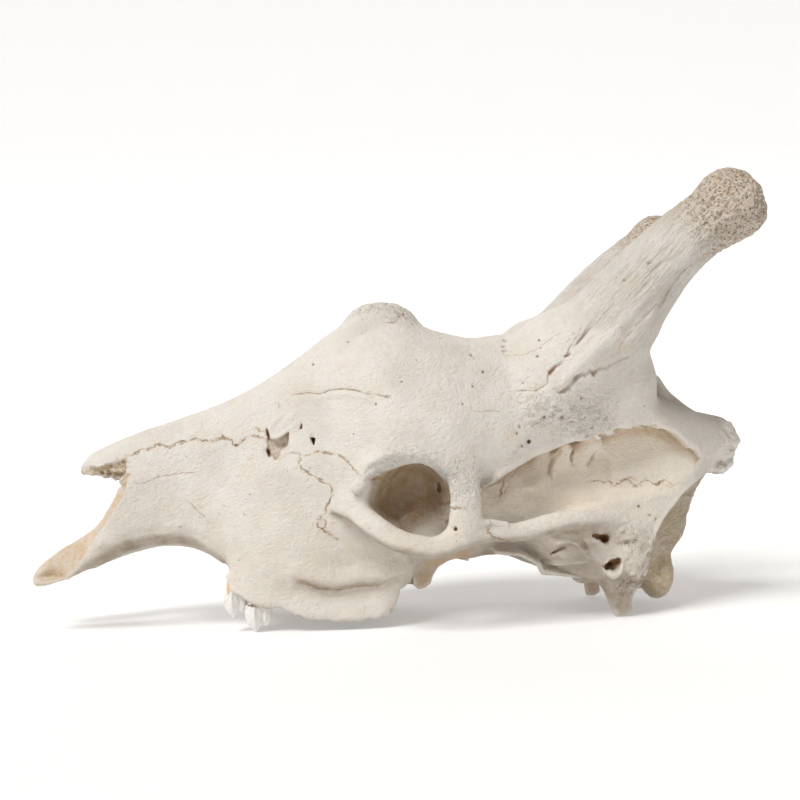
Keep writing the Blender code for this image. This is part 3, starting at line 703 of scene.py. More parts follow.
def sculptEar(block):
    for side in sides:
        # bony tube of the ear: a rim, thickest below, round a slanting slot
        for half in (71, 74.5, 77.5):
            ring = []
            for a in np.linspace(0, 2 * math.pi, 19):
                thick = 2.2 - 1.0 * math.sin(a) - 0.35 * math.cos(a)
                reach = 10.4 - thick
                ring.append((199.5 + reach * math.cos(a),
                             side * (half - 0.16 * reach * math.cos(a) - 0.12 * reach * math.sin(a)),
                             51 + reach * math.sin(a), thick))
            block.join(bar(ring, 2), 1.6)
        slot = [(193.6, 51.6), (196.5, 53.4), (201.0, 53.8), (205.2, 56.4)]
        for half, r in ((86, 3.9), (80, 3.6), (76, 3.5), (72.5, 3.0), (70, 1.9)):
            block.carve(bar([(x, side * half, z, r) for x, z in slot], 1), 0.7)
        # slanting hole in front of the tube
        for x, z, r in ((181.5, 81.8, 2.9), (185, 80.6, 3.5), (189, 79.6, 3.1), (193, 77.4, 3.3)):
            y = abs(block.onSide(x, z, side))
            carveBar(block, side, [(x, y + 3, z, r), (x, y - 4.5, z, r * 0.7)], blend=0.8, steps=1)
        # rough bone behind the ear, its crack, and the process below with its notched tip
        joinBar(block, side, [(214, 68, 64, 7), (226, 62, 54, 7), (232, 58, 46, 5)], blend=6.0)
        crack = [(211, 33), (219, 34), (226, 35), (231, 43), (238, 50), (240, 58), (241, 69)]
        carveLine(block, side, crack, sink=0.2, blend=0.8, radius=1.3)
        carveBar(block, side, [(222, 66, 1, 2.5), (219, 56, -1, 2.5), (222, 46, 1, 2.5)], blend=2.0)
        # the process is a blade: hollow outside, with a raised edge in front and behind
        carveBar(block, side, [(213, 78, 34, 9), (212, 74, 22, 9), (212, 69, 9, 7), (213, 66, 0, 5)], blend=4.0)
        joinBar(block, side, [(200, 62, 34, 2.4), (201, 60, 22, 2.0), (206, 57, 8, 1.8)], blend=2.0)
        joinBar(block, side, [(228, 64, 30, 2.6), (223, 60, 16, 2.2), (220, 57, 5, 1.8)], blend=2.0)
        # crest down from the root of the cheek bar to the front of the tube, with a hollow before it
        block.carve(ball((160, side * 76, 64), (20, 16, 12)), 5.0)
        carveLine(block, side, [(146, 78.5, 3), (157, 79.5, 5), (168, 76, 5), (175, 69, 3.5)], sink=0.6, blend=3.0)
        crest = [(166, 75, 2.0), (171, 70, 2.6), (177.3, 64.7, 2.6), (183, 60, 2.4), (187.3, 55, 2.4), (191, 46, 2.2),
                 (197, 38, 2.0)]
        joinLine(block, side, crest, sink=0.7, blend=2.5)
        joinLine(block, side, [(134, 50, 2.0), (150, 52, 2.2), (166, 54, 2.4), (180, 57, 2.0)], sink=0.6, blend=2.5)
        # the right one is narrower in front
        if side > 0:
            block.carve(roundBox((188, 36, -8), (205.5, 78, 17), 2.0), 2.0)
        # behind, the blade's edge is straight
        edge = [(236, 36), (228.4, 29.5), (225.6, 27), (221.8, 17.6), (221, 10.5), (223, 5), (222, -6), (250, -6),
                (250, 36)]
        block.carve(cutBack(edge, side, lambda x, z, inset: 46.0), 1.0)
        # thin wing beside the throat
        wing = [(92, 64), (98.8, 62.4), (108, 61.6), (116.2, 60.3), (126.3, 54.9), (134.4, 49.5), (137.3, 42.5),
                (154.8, 39.5), (171.3, 37.2), (179.1, 34)]
        block.carve(cutBack([(88, 20)] + wing[:9] + [(171.3, 20)], side, lambda x, z, inset: 26 + 0 * inset), 1.0)
        for sink in (0, 2.5, 5):
            for row in (wing[:6], wing[5:9]):
                joinBar(block, side, [(x, 50 - 2 * sink, z + 2.2 + 0.6 * sink, 2.2) for x, z in row], blend=2.0,
                        steps=1)
        # narrow slit in the hollow
        carveSlit(block, side, [(145, 61.5, 0.8), (151.1, 66.4, 1.5), (158.4, 69.6, 1.0)], steps=2)


def sculptBack(block):
    for side in sides:
        # sharp crest between the side and the neck face, which is sunk behind it
        crest = bone["neckCrest"]
        rows = onSideLine(block, side, [(x - 3, z) for x, z in crest], sink=0.2, radius=2.3)
        block.join(bar(rows), 2.0)
        heights, widths = [r[2] for r in rows[::-1]], [abs(r[1]) - 1.0 for r in rows[::-1]]
        behind = crest + [(236, 36), (330, 36), (330, 134)]
        block.carve(cutBack(behind, side, lambda x, z, inset: np.interp(z, heights, widths) - 4.0
                            - 1.35 * np.minimum(inset, 9) - 0.5 * np.maximum(inset - 9, 0)), 1.0)
        # pits in the back of the head, beside the hole of the spinal cord
        for x, w, z, r in ((290, 26, 104, 3.5), (286, 36, 94, 2.5), (293, 16, 112, 3.0), (283, 44, 104, 2.5)):
            block.carve(ball((x + 3, side * w, z), (r * 1.6, r, r)), 2.0)
        carveBar(block, side, [(262, 44, 62, 5), (254, 50, 48, 5), (246, 52, 34, 4)], blend=5.0)
        # folds of the rough lump where the neck's ligament was fixed
        lumps = ((331, 26, 178, 9), (337, 24, 166, 10), (328, 28, 163, 9), (333, 20, 143, 8), (326, 24, 139, 6))
        for x, w, z, r in lumps:
            block.join(ball((x, side * w, z), (r, r, r * 0.8)), 3.0)
        for fold in ([(322, 172), (326, 168), (327, 161), (334, 160), (340, 164)], [(325, 179), (331, 174), (338, 173)],
                     [(333, 152), (328, 153), (322, 150)], [(334, 147), (331, 144), (330, 137)],
                     [(328, 176), (335, 168), (343, 167)], [(326, 157), (333, 156), (341, 156)]):
            carveLine(block, side, fold, sink=0.2, blend=0.8, radius=1.3)
        for fold in ([(340, 30, 178, 1.4), (347, 18, 170, 1.6), (350, 6, 166, 1.4)],
                     [(338, 32, 160, 1.4), (346, 20, 155, 1.6), (349, 8, 154, 1.4)]):
            carveBar(block, side, fold, blend=2.0)
    block.join(bar([(300, 0, 186, 4), (318, 0, 186, 5), (336, 0, 182, 5)]), 6.0)
    block.join(bar([(309, 0, 128, 4), (301, 0, 104, 4), (296, 0, 88, 3)]), 6.0)


def sculptBase(block):
    for side in sides:
        # empty molar sockets with their low walls between the roots
        inner, outer = bone["socketSides"]
        for front, back in bone["sockets"]:
            low = (front, min(side * inner, side * outer), -8)
            high = (back, max(side * inner, side * outer), bone["socketRoof"])
            block.carve(roundBox(low, high, 4.0), 1.5)
            middle = (front + back) / 2
            block.join(bar([(middle, side * (outer + 1), 30, 1.6), (middle, side * 56, 25, 1.4),
                            (middle, side * (inner - 1), 28, 1.6)]), 3.0)
            block.join(bar([(middle, side * 56, 34, 2.0), (middle, side * 56, 22, 1.2)], 1), 3.0)
        # swelling of the ear under the skull, and the muscle lumps beside the middle
        block.join(ball((184, side * 35, 46), (14, 11, 9)), 4.0)
        joinBar(block, side, [(196, 34, 38, 2.4), (184, 30, 36, 2.4), (172, 26, 37, 2)], blend=3.0)
        block.join(ball((214, side * 15, 30), (13, 8, 7)), 5.0)
        carveBar(block, side, [(232, 36, 30, 3), (236, 34, 38, 3.5), (240, 30, 48, 3)], blend=2.0)
        carveBar(block, side, [(150, 44, 36, 3.5), (150, 42, 50, 4), (152, 38, 62, 4)], blend=2.5)
        # holes of the palate
        block.carve(bar([(-58, side * 27, 26, 2.4), (-52, side * 27, 38, 2.4), (-42, side * 27, 50, 2)]), 1.5)
    block.join(bar([(230, 0, 34, 3), (190, 0, 38, 3), (150, 0, 45, 3), (110, 0, 61, 3)]), 5.0)
    block.join(bar([(72, 0, 52, 1.6), (40, 0, 62, 1.8), (0, 0, 80, 1.8), (-50, 0, 98, 1.6)]), 1.5)


def sculptNose(block):
    for side in sides:
        # rolled bones inside the nose
        roll = [(-236, 19, 128, 4.0), (-205, 22, 134, 7.0), (-165, 26, 138, 9.0), (-125, 30, 140, 10.0),
                (-95, 30, 140, 8.0)]
        joinBar(block, side, roll, blend=2.0)
        carveBar(block, side, [(p[0], p[1] - 4, p[2] - 5, p[3] * 0.55) for p in roll], blend=1.5)
        upper = [(-225, 10, 168, 3.0), (-190, 14, 178, 4.5), (-150, 17, 186, 6.0), (-110, 19, 190, 7.0)]
        joinBar(block, side, upper, blend=2.0)
        joinBar(block, side, [(-232, 36, 124, 2), (-200, 38, 132, 2.4), (-160, 46, 136, 2.4), (-120, 52, 138, 2)],
                blend=2.0)
    # thin wall in the middle of the nose
    wall = [(-232, 0, 100, 1.7), (-170, 0, 100, 1.7), (-100, 0, 100, 1.7)]
    for lift in range(0, 60, 3):
        block.join(bar([(x + lift * 0.5, y, z - 2 + lift, r) for x, y, z, r in wall], 1), 1.0)


def sculptHorns(block):
    for side in sides:
        shift = np.array(bone["knobShift"]) if side > 0 else np.zeros(3)
        # tongue of horn bone that lies on the brow, with a step under it
        tongue = [(147, 226, 4.5), (153, 233, 6.0), (161, 241, 7.0), (171, 249, 8.0), (184, 258, 8.5), (199, 268, 8.0)]
        rows = onSideLine(block, side, tongue, sink=0.0)
        block.join(bar([(x, y - side * (r - 2.4), z, r) for x, y, z, r in rows]), 2.5)
        step = [(141, 221, 1.0), (144, 217.5, 1.8), (148, 218, 2.2), (154, 223, 1.9), (160, 230, 2.4), (166, 234, 2.0),
                (169, 232.5, 1.8), (173, 237, 2.2), (177, 234, 2.3), (182, 239, 1.8), (189, 238.5, 1.8),
                (196, 243, 1.6), (205, 247, 1.2), (214, 250, 0.5)]
        carveLine(block, side, step, sink=0.4, blend=0.8, steps=2)
        # crack up the horn's front, open in two places
        crack = [(112, 220, 0.5), (117, 220, 0.8), (123, 219, 0.9), (128, 222, 0.8), (134, 226, 0.7), (135, 233, 1.0),
                 (137, 236, 1.8), (142, 241, 1.9), (147, 243.5, 1.4)]
        carveLine(block, side, crack, sink=0.5, blend=0.7, steps=2)
        carveLine(block, side, [(151.5, 250.5, 1.5), (154.5, 252, 1.5)], sink=0.8, blend=0.6, steps=1)
        carveLine(block, side, [(154, 256), (157, 261), (161, 266), (164, 270)], sink=0.4, blend=0.7, radius=0.9)
        # long furrows up the horn
        for furrow in ([(169, 252), (178, 262), (191, 272), (200, 279)],
                       [(200, 256), (206, 265), (215, 274), (222, 282), (231, 290), (237, 296), (247, 299)],
                       [(157, 256), (166, 266), (176, 279), (184, 289), (193, 298)],
                       [(225, 319), (234, 328), (241, 334), (247, 336)],
                       [(236, 286), (243, 298), (251, 311), (261, 325), (273, 334)],
                       [(161, 260), (171, 271), (182, 281), (194, 293), (206, 307)],
                       [(190, 246), (206, 258), (224, 274), (240, 290)],
                       [(212, 300), (226, 313), (240, 322)]):
            last = len(furrow) - 1
            rows = [(x, z, 0.4 if k in (0, last) else 1.5) for k, (x, z) in enumerate(furrow)]
            carveLine(block, side, rows, sink=0.3, blend=1.2)
        for swell in ([(176, 256), (196, 272), (216, 292), (234, 312)], [(206, 262), (226, 282), (246, 304)]):
            joinLine(block, side, swell, sink=4.1, blend=4.0, radius=5.0)
        # a small spur under each horn's knob
        knob = np.array(flip([bone["knobMiddle"]], side)[0]) + shift
        block.join(ball(knob + (22, side * 4, -15), (5, 6, 4)), 4.0)
        # arc-shaped crack on the bump of the forehead
        arc = [(-10, 292), (-7, 290), (-2, 289), (3, 290), (6, 291.5)]
        carveLine(block, side, arc, sink=0.4, blend=0.8, radius=1.1)
        for x, z, r in ((-18, 308, 1.5), (-22, 303, 1.3), (-30, 305, 1.4), (-7, 307, 1.2), (2, 307, 1.5),
                        (-5, 295, 1.0), (-29, 294, 1.0), (8, 296, 1.3), (12, 298, 1.4), (20, 288, 1.4)):
            y = block.onSide(x, z, side)
            block.carve(bar([(x, y + side * 2, z + 1, r), (x, y - side * 4, z - 3, r * 0.7)], 1), 0.5)
    block.join(ball((-12, 0, 301), (22, 17, 9)), 6.0)
    # the slope from the horns to the back of the head
    for w in (-12, 0, 12):
        block.join(bar([(262, w, 232, 4), (267, w, 226, 5), (272.5, w, 218, 5), (279.5, w, 210, 5), (288, w, 201.5, 5),
                        (297, w, 193.5, 4)]), 8.0)


# Places on the left, as a line of x, y and z with its full and its faded radius
places = {
    "rough": {
        "patch": ([(132, -100, 200), (156, -100, 196), (184, -96, 186)], 10, 26),
        "brow": ([(-24, -104, 152), (0, -110, 163), (25, -112, 160), (42, -112, 142)], 5, 14),
        "bars": ([(50, -108, 150), (54, -112, 132)], 8, 18),
        "mastoid": ([(216, -66, 84), (228, -64, 70), (230, -64, 52), (218, -62, 38)], 12, 22),
        "nape": ([(344, -24, 172), (346, -18, 150), (336, -16, 138)], 14, 28),
        "occiput": ([(294, -30, 104), (296, -14, 88)], 18, 34),
        "bump": ([(-24, -8, 304), (2, -8, 304)], 12, 26),
        "snout": ([(-300, -6, 152), (-272, -20, 150)], 14, 22),
    },
    "coloured": {
        "hook": ([(60, -28, 56), (34, -28, 48), (22, -28, 32)], 10, 18),
        "patch": ([(132, -96, 200), (156, -96, 196), (184, -94, 186)], 10, 26),
        "mastoid": ([(222, -66, 76), (228, -64, 58), (220, -62, 40)], 12, 24),
        "nape": ([(344, -24, 172), (346, -18, 150), (336, -16, 138)], 14, 30),
        "bulge": ([(294, -30, 104), (296, -14, 88)], 14, 30),
        "bump": ([(-24, -8, 304), (2, -8, 304)], 12, 28),
        "brow": ([(-24, -104, 152), (0, -110, 163), (25, -112, 160), (42, -112, 142), (54, -112, 128)], 6, 16),
        "back": ([(50, -110, 158), (56, -113, 140), (56, -113, 126)], 7, 14),
        "crown": ([(150, -96, 212), (170, -98, 222), (190, -92, 206)], 8, 22),
    },
    "farTip": ([(212, 57, 0), (210, 57, 22)], 12, 18),  # the right process, which is tan
}


def knobStrength(spots, left, fade):
    # 1 in the horns' spongy tips, and 0 beyond fade mm from their middles
    moved = left + np.where(spots[:, 1:2] > 0, -np.array(bone["knobShift"], np.float32), 0).astype(np.float32)
    away = np.sqrt(((moved - flip([bone["knobMiddle"]], -1)[0]) ** 2).sum(1))
    return 1 - ramp(away, bone["knobRadius"], fade)


def roughen(block):
    # small relief, stronger where muscles, ligaments and horn tips make the real bone rough
    cells, spots = block.near(3.2)
    left = toLeft(spots)
    shift = 0.45 * softNoise(spots, 16, 1) + 0.32 * softNoise(spots, 7, 2) + 0.20 * softNoise(spots, 3.6, 3)
    horn = nearLine(left, flip(bone["hornAxis"][:4], -1), 30, 48) * ramp(left[:, 2], 196, 224)
    axis = np.array(bone["hornGrain"], np.float32)
    other = np.array(bone["acrossGrain"], np.float32)
    grain = np.stack([left @ axis / bone["grainStretch"], left @ other, left @ np.cross(axis, other)], axis=1)
    shift += horn * (0.7 * softNoise(grain, 5.5, 4) + 0.5 * softNoise(grain, 2.8, 5))
    knob = knobStrength(spots, left, 80)
    picked = knob > 0.01
    pits = cellNoise(spots[picked] + 0.8 * softNoise(spots[picked], 3, 8)[:, None], 4.8, 3)
    shift[picked] += knob[picked] * (0.8 * softNoise(spots[picked], 8, 6) - 2.3 * (1 - ramp(pits, 0.15, 0.5)) + 0.7)
    rough = {name: nearLine(left, *row) for name, row in places["rough"].items()}
    rough["snout"] = rough["snout"] * (1 - ramp(left[:, 2], 154, 166))
    # with the size and height of its bumps in mm, and the seed of their noise
    for name, size, height, seed in (("patch", (6.5, 3.4, 2.9), 1.5, 21), ("patch", 3.4, 0.8, 20),
                                     ("brow", 4.0, 0.9, 22), ("bars", 4.5, 0.6, 23), ("mastoid", 4.4, 1.3, 24),
                                     ("nape", 6.5, 1.0, 25), ("occiput", 4.6, 0.9, 26), ("bump", 5.0, 1.0, 27),
                                     ("snout", 4.2, 1.2, 28)):
        mask, size = rough[name], np.array(size)
        here = mask > 0.01
        bumps = 0.65 * softNoise(spots[here], size, seed) + 0.35 * softNoise(spots[here], size * 0.5, seed + 9)
        shift[here] += mask[here] * height * bumps * 1.5
    block.field[cells] -= shift


def trimWall(block):
    # the broken lower edge of the walls round the molars
    edge = np.array(bone["wallEdge"], float)
    where, x, y, z = block.window((-166, -90, -10), (12, 90, bone["wallTop"]))
    xs = x[:, 0, 0]
    height = np.interp(xs, edge[:, 0], edge[:, 1])
    for side in sides:
        line = np.stack([xs, np.full_like(xs, 90.0 * side), np.zeros_like(xs)], axis=1).astype(np.float32)
        ragged = height + bone["edgeRoughness"] * (0.7 * softNoise(line, 9, 31) + 0.6 * softNoise(line, 4, 32))
        below = (ragged[:, None, None] - z) * np.ones_like(y)
        field = block.field[where]
        block.field[where] = np.where(y * side > bone["wallInside"], np.maximum(field, below), field)


def sampled(field, low, voxel, spots):
    # values between the cells at the given places
    p = np.clip(spots / voxel - low, 0, np.array(field.shape) - 1.001)
    cell = p.astype(np.int32)
    f = (p - cell).astype(np.float32)
    total = np.zeros(len(spots), np.float32)
    for i in (0, 1):
        fx = f[:, 0] if i else 1 - f[:, 0]
        for j in (0, 1):
            fy = f[:, 1] if j else 1 - f[:, 1]
            for k in (0, 1):
                fz = f[:, 2] if k else 1 - f[:, 2]
                total += fx * fy * fz * field[cell[:, 0] + i, cell[:, 1] + j, cell[:, 2] + k]
    return total


def meshFrom(name, points, triangles, quads):
    # a mesh in metres from arrays of corners, with its faces turned outwards
    faces = [f for f in (triangles, quads) if len(f)]
    loops = np.concatenate([f.ravel() for f in faces]).astype(np.int32)
    totals = np.concatenate([np.full(len(f), f.shape[1], np.int32) for f in faces])
    starts = np.concatenate([[0], np.cumsum(totals)[:-1]]).astype(np.int32)
    mesh = bpy.data.meshes.new(name)
    mesh.vertices.add(len(points))
    mesh.vertices.foreach_set("co", (points * mm).astype(np.float32).ravel())
    mesh.loops.add(len(loops))
    mesh.loops.foreach_set("vertex_index", loops)
    mesh.polygons.add(len(totals))
    mesh.polygons.foreach_set("loop_start", starts)
    mesh.update(calc_edges=True)
    mesh.validate()
    mesh.calc_loop_triangles()
    tri = readAll(mesh.loop_triangles, "vertices", kind=np.int32)
    p = points.astype(np.float64)
    volume = np.einsum("ij,ij->i", p[tri[:, 0]], np.cross(p[tri[:, 1]], p[tri[:, 2]])).sum()
    if volume < 0:
        mesh.flip_normals()
    return mesh


def thinned(name, mesh, triangles):
    # fewer triangles, fewest where the surface is smooth
    thing = place(name, mesh)
    mesh.calc_loop_triangles()
    fewer = thing.modifiers.new("fewer triangles", "DECIMATE")
    fewer.ratio = min(1.0, triangles / max(1, len(mesh.loop_triangles)))
    fewer.use_collapse_triangulate = True
    result = bpy.data.meshes.new_from_object(thing.evaluated_get(bpy.context.evaluated_depsgraph_get()))
    bpy.data.objects.remove(thing)
    return result


def mainBody(mesh):
    # drops loose crumbs and closed bubbles, and keeps the largest connected body
    edges = readAll(mesh.edges, "vertices", 2, np.int32)
    label = np.arange(len(mesh.vertices))
    for _ in range(400):
        before = label.copy()
        least = np.minimum(label[edges[:, 0]], label[edges[:, 1]])
        np.minimum.at(label, edges[:, 0], least)
        np.minimum.at(label, edges[:, 1], least)
        label = label[label]
        if (label == before).all():
            break
    keep = label == np.bincount(label).argmax()
    bm = bmesh.new()
    bm.from_mesh(mesh)
    bm.verts.ensure_lookup_table()
    bmesh.ops.delete(bm, geom=[bm.verts[int(i)] for i in np.nonzero(~keep)[0]], context="VERTS")
    bm.to_mesh(mesh)
    bm.free()
    return mesh


def storeVector(mesh, name, columns):
    attribute = mesh.attributes.new(name, "FLOAT_VECTOR", "POINT")
    attribute.data.foreach_set("vector", np.stack(columns, axis=1).astype(np.float32).ravel())


# Sutures and cracks: how strong, where they are drawn from, and points as x and z, or x and y from above or below
seams = {
    "sutures": [
        (1.0, "side", [(-257, 168), (-249, 170), (-240, 174), (-231, 176), (-225, 178), (-216, 176), (-209, 178),
                       (-204, 181), (-198, 181), (-193, 183), (-181, 181), (-174, 180), (-165, 184), (-160, 182),
                       (-156, 180), (-152, 174), (-147, 180), (-137, 185), (-131, 184), (-124, 180)]),
        (1.0, "side", [(-103, 169), (-99, 168), (-93, 167), (-91, 165), (-93, 161), (-93, 156), (-91, 152), (-86, 150),
                       (-81, 148), (-77, 144), (-71, 140), (-67, 138), (-64, 134), (-65, 128), (-69, 120), (-73, 110),
                       (-77, 104), (-79, 99), (-72, 96), (-66, 92), (-62, 88), (-56, 85)]),
        (0.9, "side", [(79, 105), (77, 99), (74, 93), (80, 89), (86, 86), (94, 83), (104, 79), (114, 74)]),
        (0.8, "side", [(34, 118), (43, 115), (47, 117), (52, 115.5), (58, 114)]),
        (0.9, "side", [(101, 138), (100, 131), (97, 127), (99, 122), (96, 116), (95, 111)]),
        (0.8, "side", [(178, 131), (190, 132), (203, 130), (208, 126), (214, 131), (221, 133), (226, 124), (232, 127),
                       (239, 133), (245, 127), (250, 127), (258, 131), (264, 124), (274, 128)]),
        (0.8, "top", [(-300, 0), (-250, 0.5), (-200, -0.5), (-150, 0), (-100, 0.5), (-60, 0)]),
        (0.5, "top", [(60, 0), (110, 0), (160, 1), (200, 0)]),
        (0.7, "under", [(-240, 0), (-180, 0.5), (-120, -0.5), (-60, 0), (-5, 0)]),
    ],
    "branches": [
        (0.9, "side", [(-91, 165), (-84, 166), (-80, 167), (-76, 169), (-70, 168), (-63, 166.5), (-59, 166.5),
                       (-54, 164), (-50, 160), (-47, 155), (-42, 150), (-38, 146)]),
        (1.0, "side", [(-33, 145), (-28, 143), (-22, 144), (-16, 141), (-13, 136), (-17, 131), (-22, 126)]),
        (0.8, "side", [(-74, 110), (-70, 104), (-71, 99), (-77, 97), (-79, 92)]),
        (0.8, "side", [(-137, 191), (-130, 190), (-126, 189), (-122, 187)]),
        (0.6, "side", [(-110, 219), (-112, 214), (-110, 210), (-110, 205)]),
        (0.8, "side", [(106, 136), (105, 129), (102, 124), (101, 117)]),
        (0.8, "side", [(243, 128), (247, 123), (252, 130), (258, 124), (263, 127)]),
        (0.7, "side", [(212, 134), (217, 129), (222, 136), (230, 131)]),
        (0.7, "side", [(200, 76), (207, 72), (213, 74), (220, 68), (218, 60)]),
        (0.5, "under", [(-40, -38), (-36, -14), (-38, 0), (-36, 14), (-40, 38)]),
        (0.5, "under", [(-215, -30), (-224, -12), (-226, 0), (-224, 12), (-215, 30)]),
        (0.4, "top", [(-60, 0), (-66, 20), (-84, 36), (-92, 60)]),
    ],
    "cracks": [
        (0.7, "side", [(-253, 144), (-245, 142), (-237, 143), (-229, 147), (-218, 149), (-204, 151), (-189, 151)]),
        (0.9, "side", [(-98, 49), (-86, 44), (-76, 40.5), (-61, 39.5), (-50, 41), (-40, 42), (-27, 42), (-19, 42.5)]),
        (0.7, "side", [(-200, 125), (-194, 120), (-189, 114), (-184, 110), (-179, 104), (-177, 99)]),
        (0.6, "side", [(-173, 162), (-173, 152)]),
        (0.7, "side", [(-219, 130), (-215, 131), (-211, 133)]),
        (0.6, "side", [(-250, 128), (-245, 127), (-240, 126)]),
        (0.6, "side", [(-186, 200), (-185, 196), (-184, 191)]),
        (0.5, "side", [(-165, 206), (-164, 200)]),
        (0.9, "side", [(-100, 222), (-92, 222.5), (-84, 223.5), (-73, 222), (-63, 225), (-54, 226), (-43, 225),
                       (-36, 223), (-29, 221), (-22, 220), (-15, 218), (-9, 217)]),
        (0.9, "side", [(105, 220), (112, 220), (123, 219), (128, 222), (134, 226), (135, 233), (142, 241), (150, 248),
                       (154, 256), (161, 266), (168, 277)]),
        (0.6, "side", [(200, 256), (206, 265), (222, 282), (237, 296), (248, 299)]),
        (0.6, "side", [(225, 319), (234, 328), (241, 334), (248, 336)]),
        (0.6, "side", [(236, 286), (251, 311), (261, 325), (275, 335)]),
        (0.8, "side", [(203, 298), (208, 301), (214, 303)]),
        (0.5, "side", [(97, 255), (105, 253), (114, 253), (124, 256), (132, 261), (142, 269), (151, 273)]),
        (0.5, "side", [(161, 260), (171, 271), (182, 281), (199, 300)]),
        (0.9, "side", [(211, 33), (219, 34), (226, 35), (231, 43), (238, 50), (240, 58), (241, 69), (242, 80)]),
        (0.8, "side", [(146, 61), (151, 66), (158, 70)]),
        (0.5, "side", [(60, 205), (72, 201), (84, 203), (96, 200)]),
        (0.6, "side", [(104, 212), (112, 208), (118, 211)]),
        (0.8, "side", [(-10, 292), (-7, 290), (-2, 289), (3, 290), (6, 291.5)]),
        (0.7, "side", [(0, 300), (6, 299), (11, 297), (15, 296)]),
        (0.6, "side", [(11, 283), (16, 284.5), (23, 284)]),
        (0.7, "side", [(18, 288), (24, 286)]),
        (0.5, "side", [(-37, 12), (-36, 22), (-38, 30)]),
    ],
}
tints = {
    "orbit": ((4, -72, 124), 36, 52),  # brown inside of the eye socket, with painted shade: middle, full radius and faded radius
    # the condyle's outline, where it is painted yellowish and darkened with painted shade
    "condyle": [(252, 78), (258, 71), (264, 66), (272, 59), (290, 50), (290, 0), (225, 0), (236, 22), (241.4, 31.1),
                (246.1, 45.5), (250, 62)],
    # zones of the side as x and z
    "noseFront": [(-252, 152), (-255, 142), (-261, 128), (-269, 116), (-276, 106), (-284, 96), (-293, 83), (-299, 73),
                  (-304, 66), (-309, 61), (-316, 54), (-322, 50), (-330, 40), (-366, 40), (-366, 100), (-300, 152)],
    # wing, cheekBack, blade and templeFront are zones of painted shade
    "wing": [(84, 76), (100, 73), (112, 76), (126, 79), (138, 85), (149, 88), (160, 84), (172, 74), (180, 64),
             (190, 52), (193, 44), (200, 36), (190, 18), (150, 34), (90, 40)],
    "cheekBack": [(-12, 4), (-10, 16), (-3, 30), (4, 40), (16, 50), (30, 60), (46, 64), (46, 4)],
    "blade": [(186, 40), (200, 6), (206, -4), (224, -4), (228, 26), (234, 37), (216, 40), (203, 42)],
    "templeFront": [(72, 108), (74, 125), (85, 138), (110, 152), (140, 165), (158, 168), (150, 152), (145, 140),
                    (128, 130), (112, 126), (100, 112), (90, 106)],
    # brown openings, the last two painted shade under the edge of the horn's tongue: strength, half width of their rim
    # (0 on a smooth side), radius and a line in x and z
    "openings": [(1.0, 78, 3.4, (194, 52.5), (204, 56)), (1.0, 0, 3.6, (182, 82), (193, 78)),
                 (0.9, 0, 2.4, (-80.5, 183), (-79.5, 177)), (0.8, 0, 1.0, (-123, 189), (-121.5, 182)),
                 (0.8, 0, 1.4, (-123, 170), (-121, 165)), (0.8, 0, 1.0, (-90, 194), (-91, 191)),
                 (1.0, 0, 1.5, (-12, 217), (-8, 216)), (0.9, 0, 2.0, (137, 236), (147, 243)),
                 (0.9, 0, 1.5, (151, 250), (154, 252)), (0.8, 0, 1.5, (147, 62.5), (157, 68.5)),
                 (0.6, 0, 2.0, (144, 218), (154, 223)), (0.6, 0, 2.0, (160, 230), (177, 236))],
    "brokenHole": [(-124, 184), (-114, 182), (-103, 189), (-102, 178), (-105, 168), (-112, 160), (-120, 163),
                   (-124, 170)],
}


def seamDistance(u, v, points):
    # signed and plain distance to a line in the plane, and how far along it from its nearer end
    line = np.array(points, np.float32)
    best = np.full(len(u), 1e9, np.float32)
    cross = np.zeros(len(u), np.float32)
    along = np.zeros(len(u), np.float32)
    lengths = np.linalg.norm(line[1:] - line[:-1], axis=1)
    run = np.concatenate([[0], np.cumsum(lengths)])
    for k in range(len(line) - 1):
        a, d, length = line[k], line[k + 1] - line[k], lengths[k]
        t = np.clip(((u - a[0]) * d[0] + (v - a[1]) * d[1]) / length ** 2, 0, 1)
        away = np.hypot(u - a[0] - t * d[0], v - a[1] - t * d[1])
        lean = ((u - a[0]) * d[1] - (v - a[1]) * d[0]) / length
        closer = (away < best - 1e-3) | ((away < best + 1e-3) & (np.abs(lean) > np.abs(cross)))
        cross = np.where(closer, lean, cross)
        along = np.where(closer, run[k] + t * length, along)
        best = np.minimum(best, away)
    return np.sign(cross) * best, best, np.minimum(along, run[-1] - along)


def drawSeams(mesh, spots, normals):
    x, y, z = spots.T
    for name, lines in seams.items():
        signed = np.full(len(spots), 9.0, np.float32)
        plain = np.full(len(spots), 9.0, np.float32)
        strength = np.zeros(len(spots), np.float32)
        for power, face, points in lines:
            for side in (sides if face == "side" else (1,)):
                if face == "side":
                    facing = ramp(normals[:, 1] * side, 0.05, 0.35) * (y * side > 16)
                    u, v = x, z + (1.5 * math.sin(len(points) * 2.1) if side > 0 else 0)
                else:
                    facing = ramp(normals[:, 2] * (1 if face == "top" else -1), 0.1, 0.5)
                    facing = facing * ((z > 120) if face == "top" else (z < 110))
                    u, v = x, y
                s, d, along = seamDistance(u, v, points)
                closer = (d < plain) & (facing > 0)
                signed = np.where(closer, s, signed)
                plain = np.where(closer, d, plain)
                strength = np.where(closer, power * facing * ramp(along, -1, 8), strength)
        storeVector(mesh, name, (signed, plain, strength))


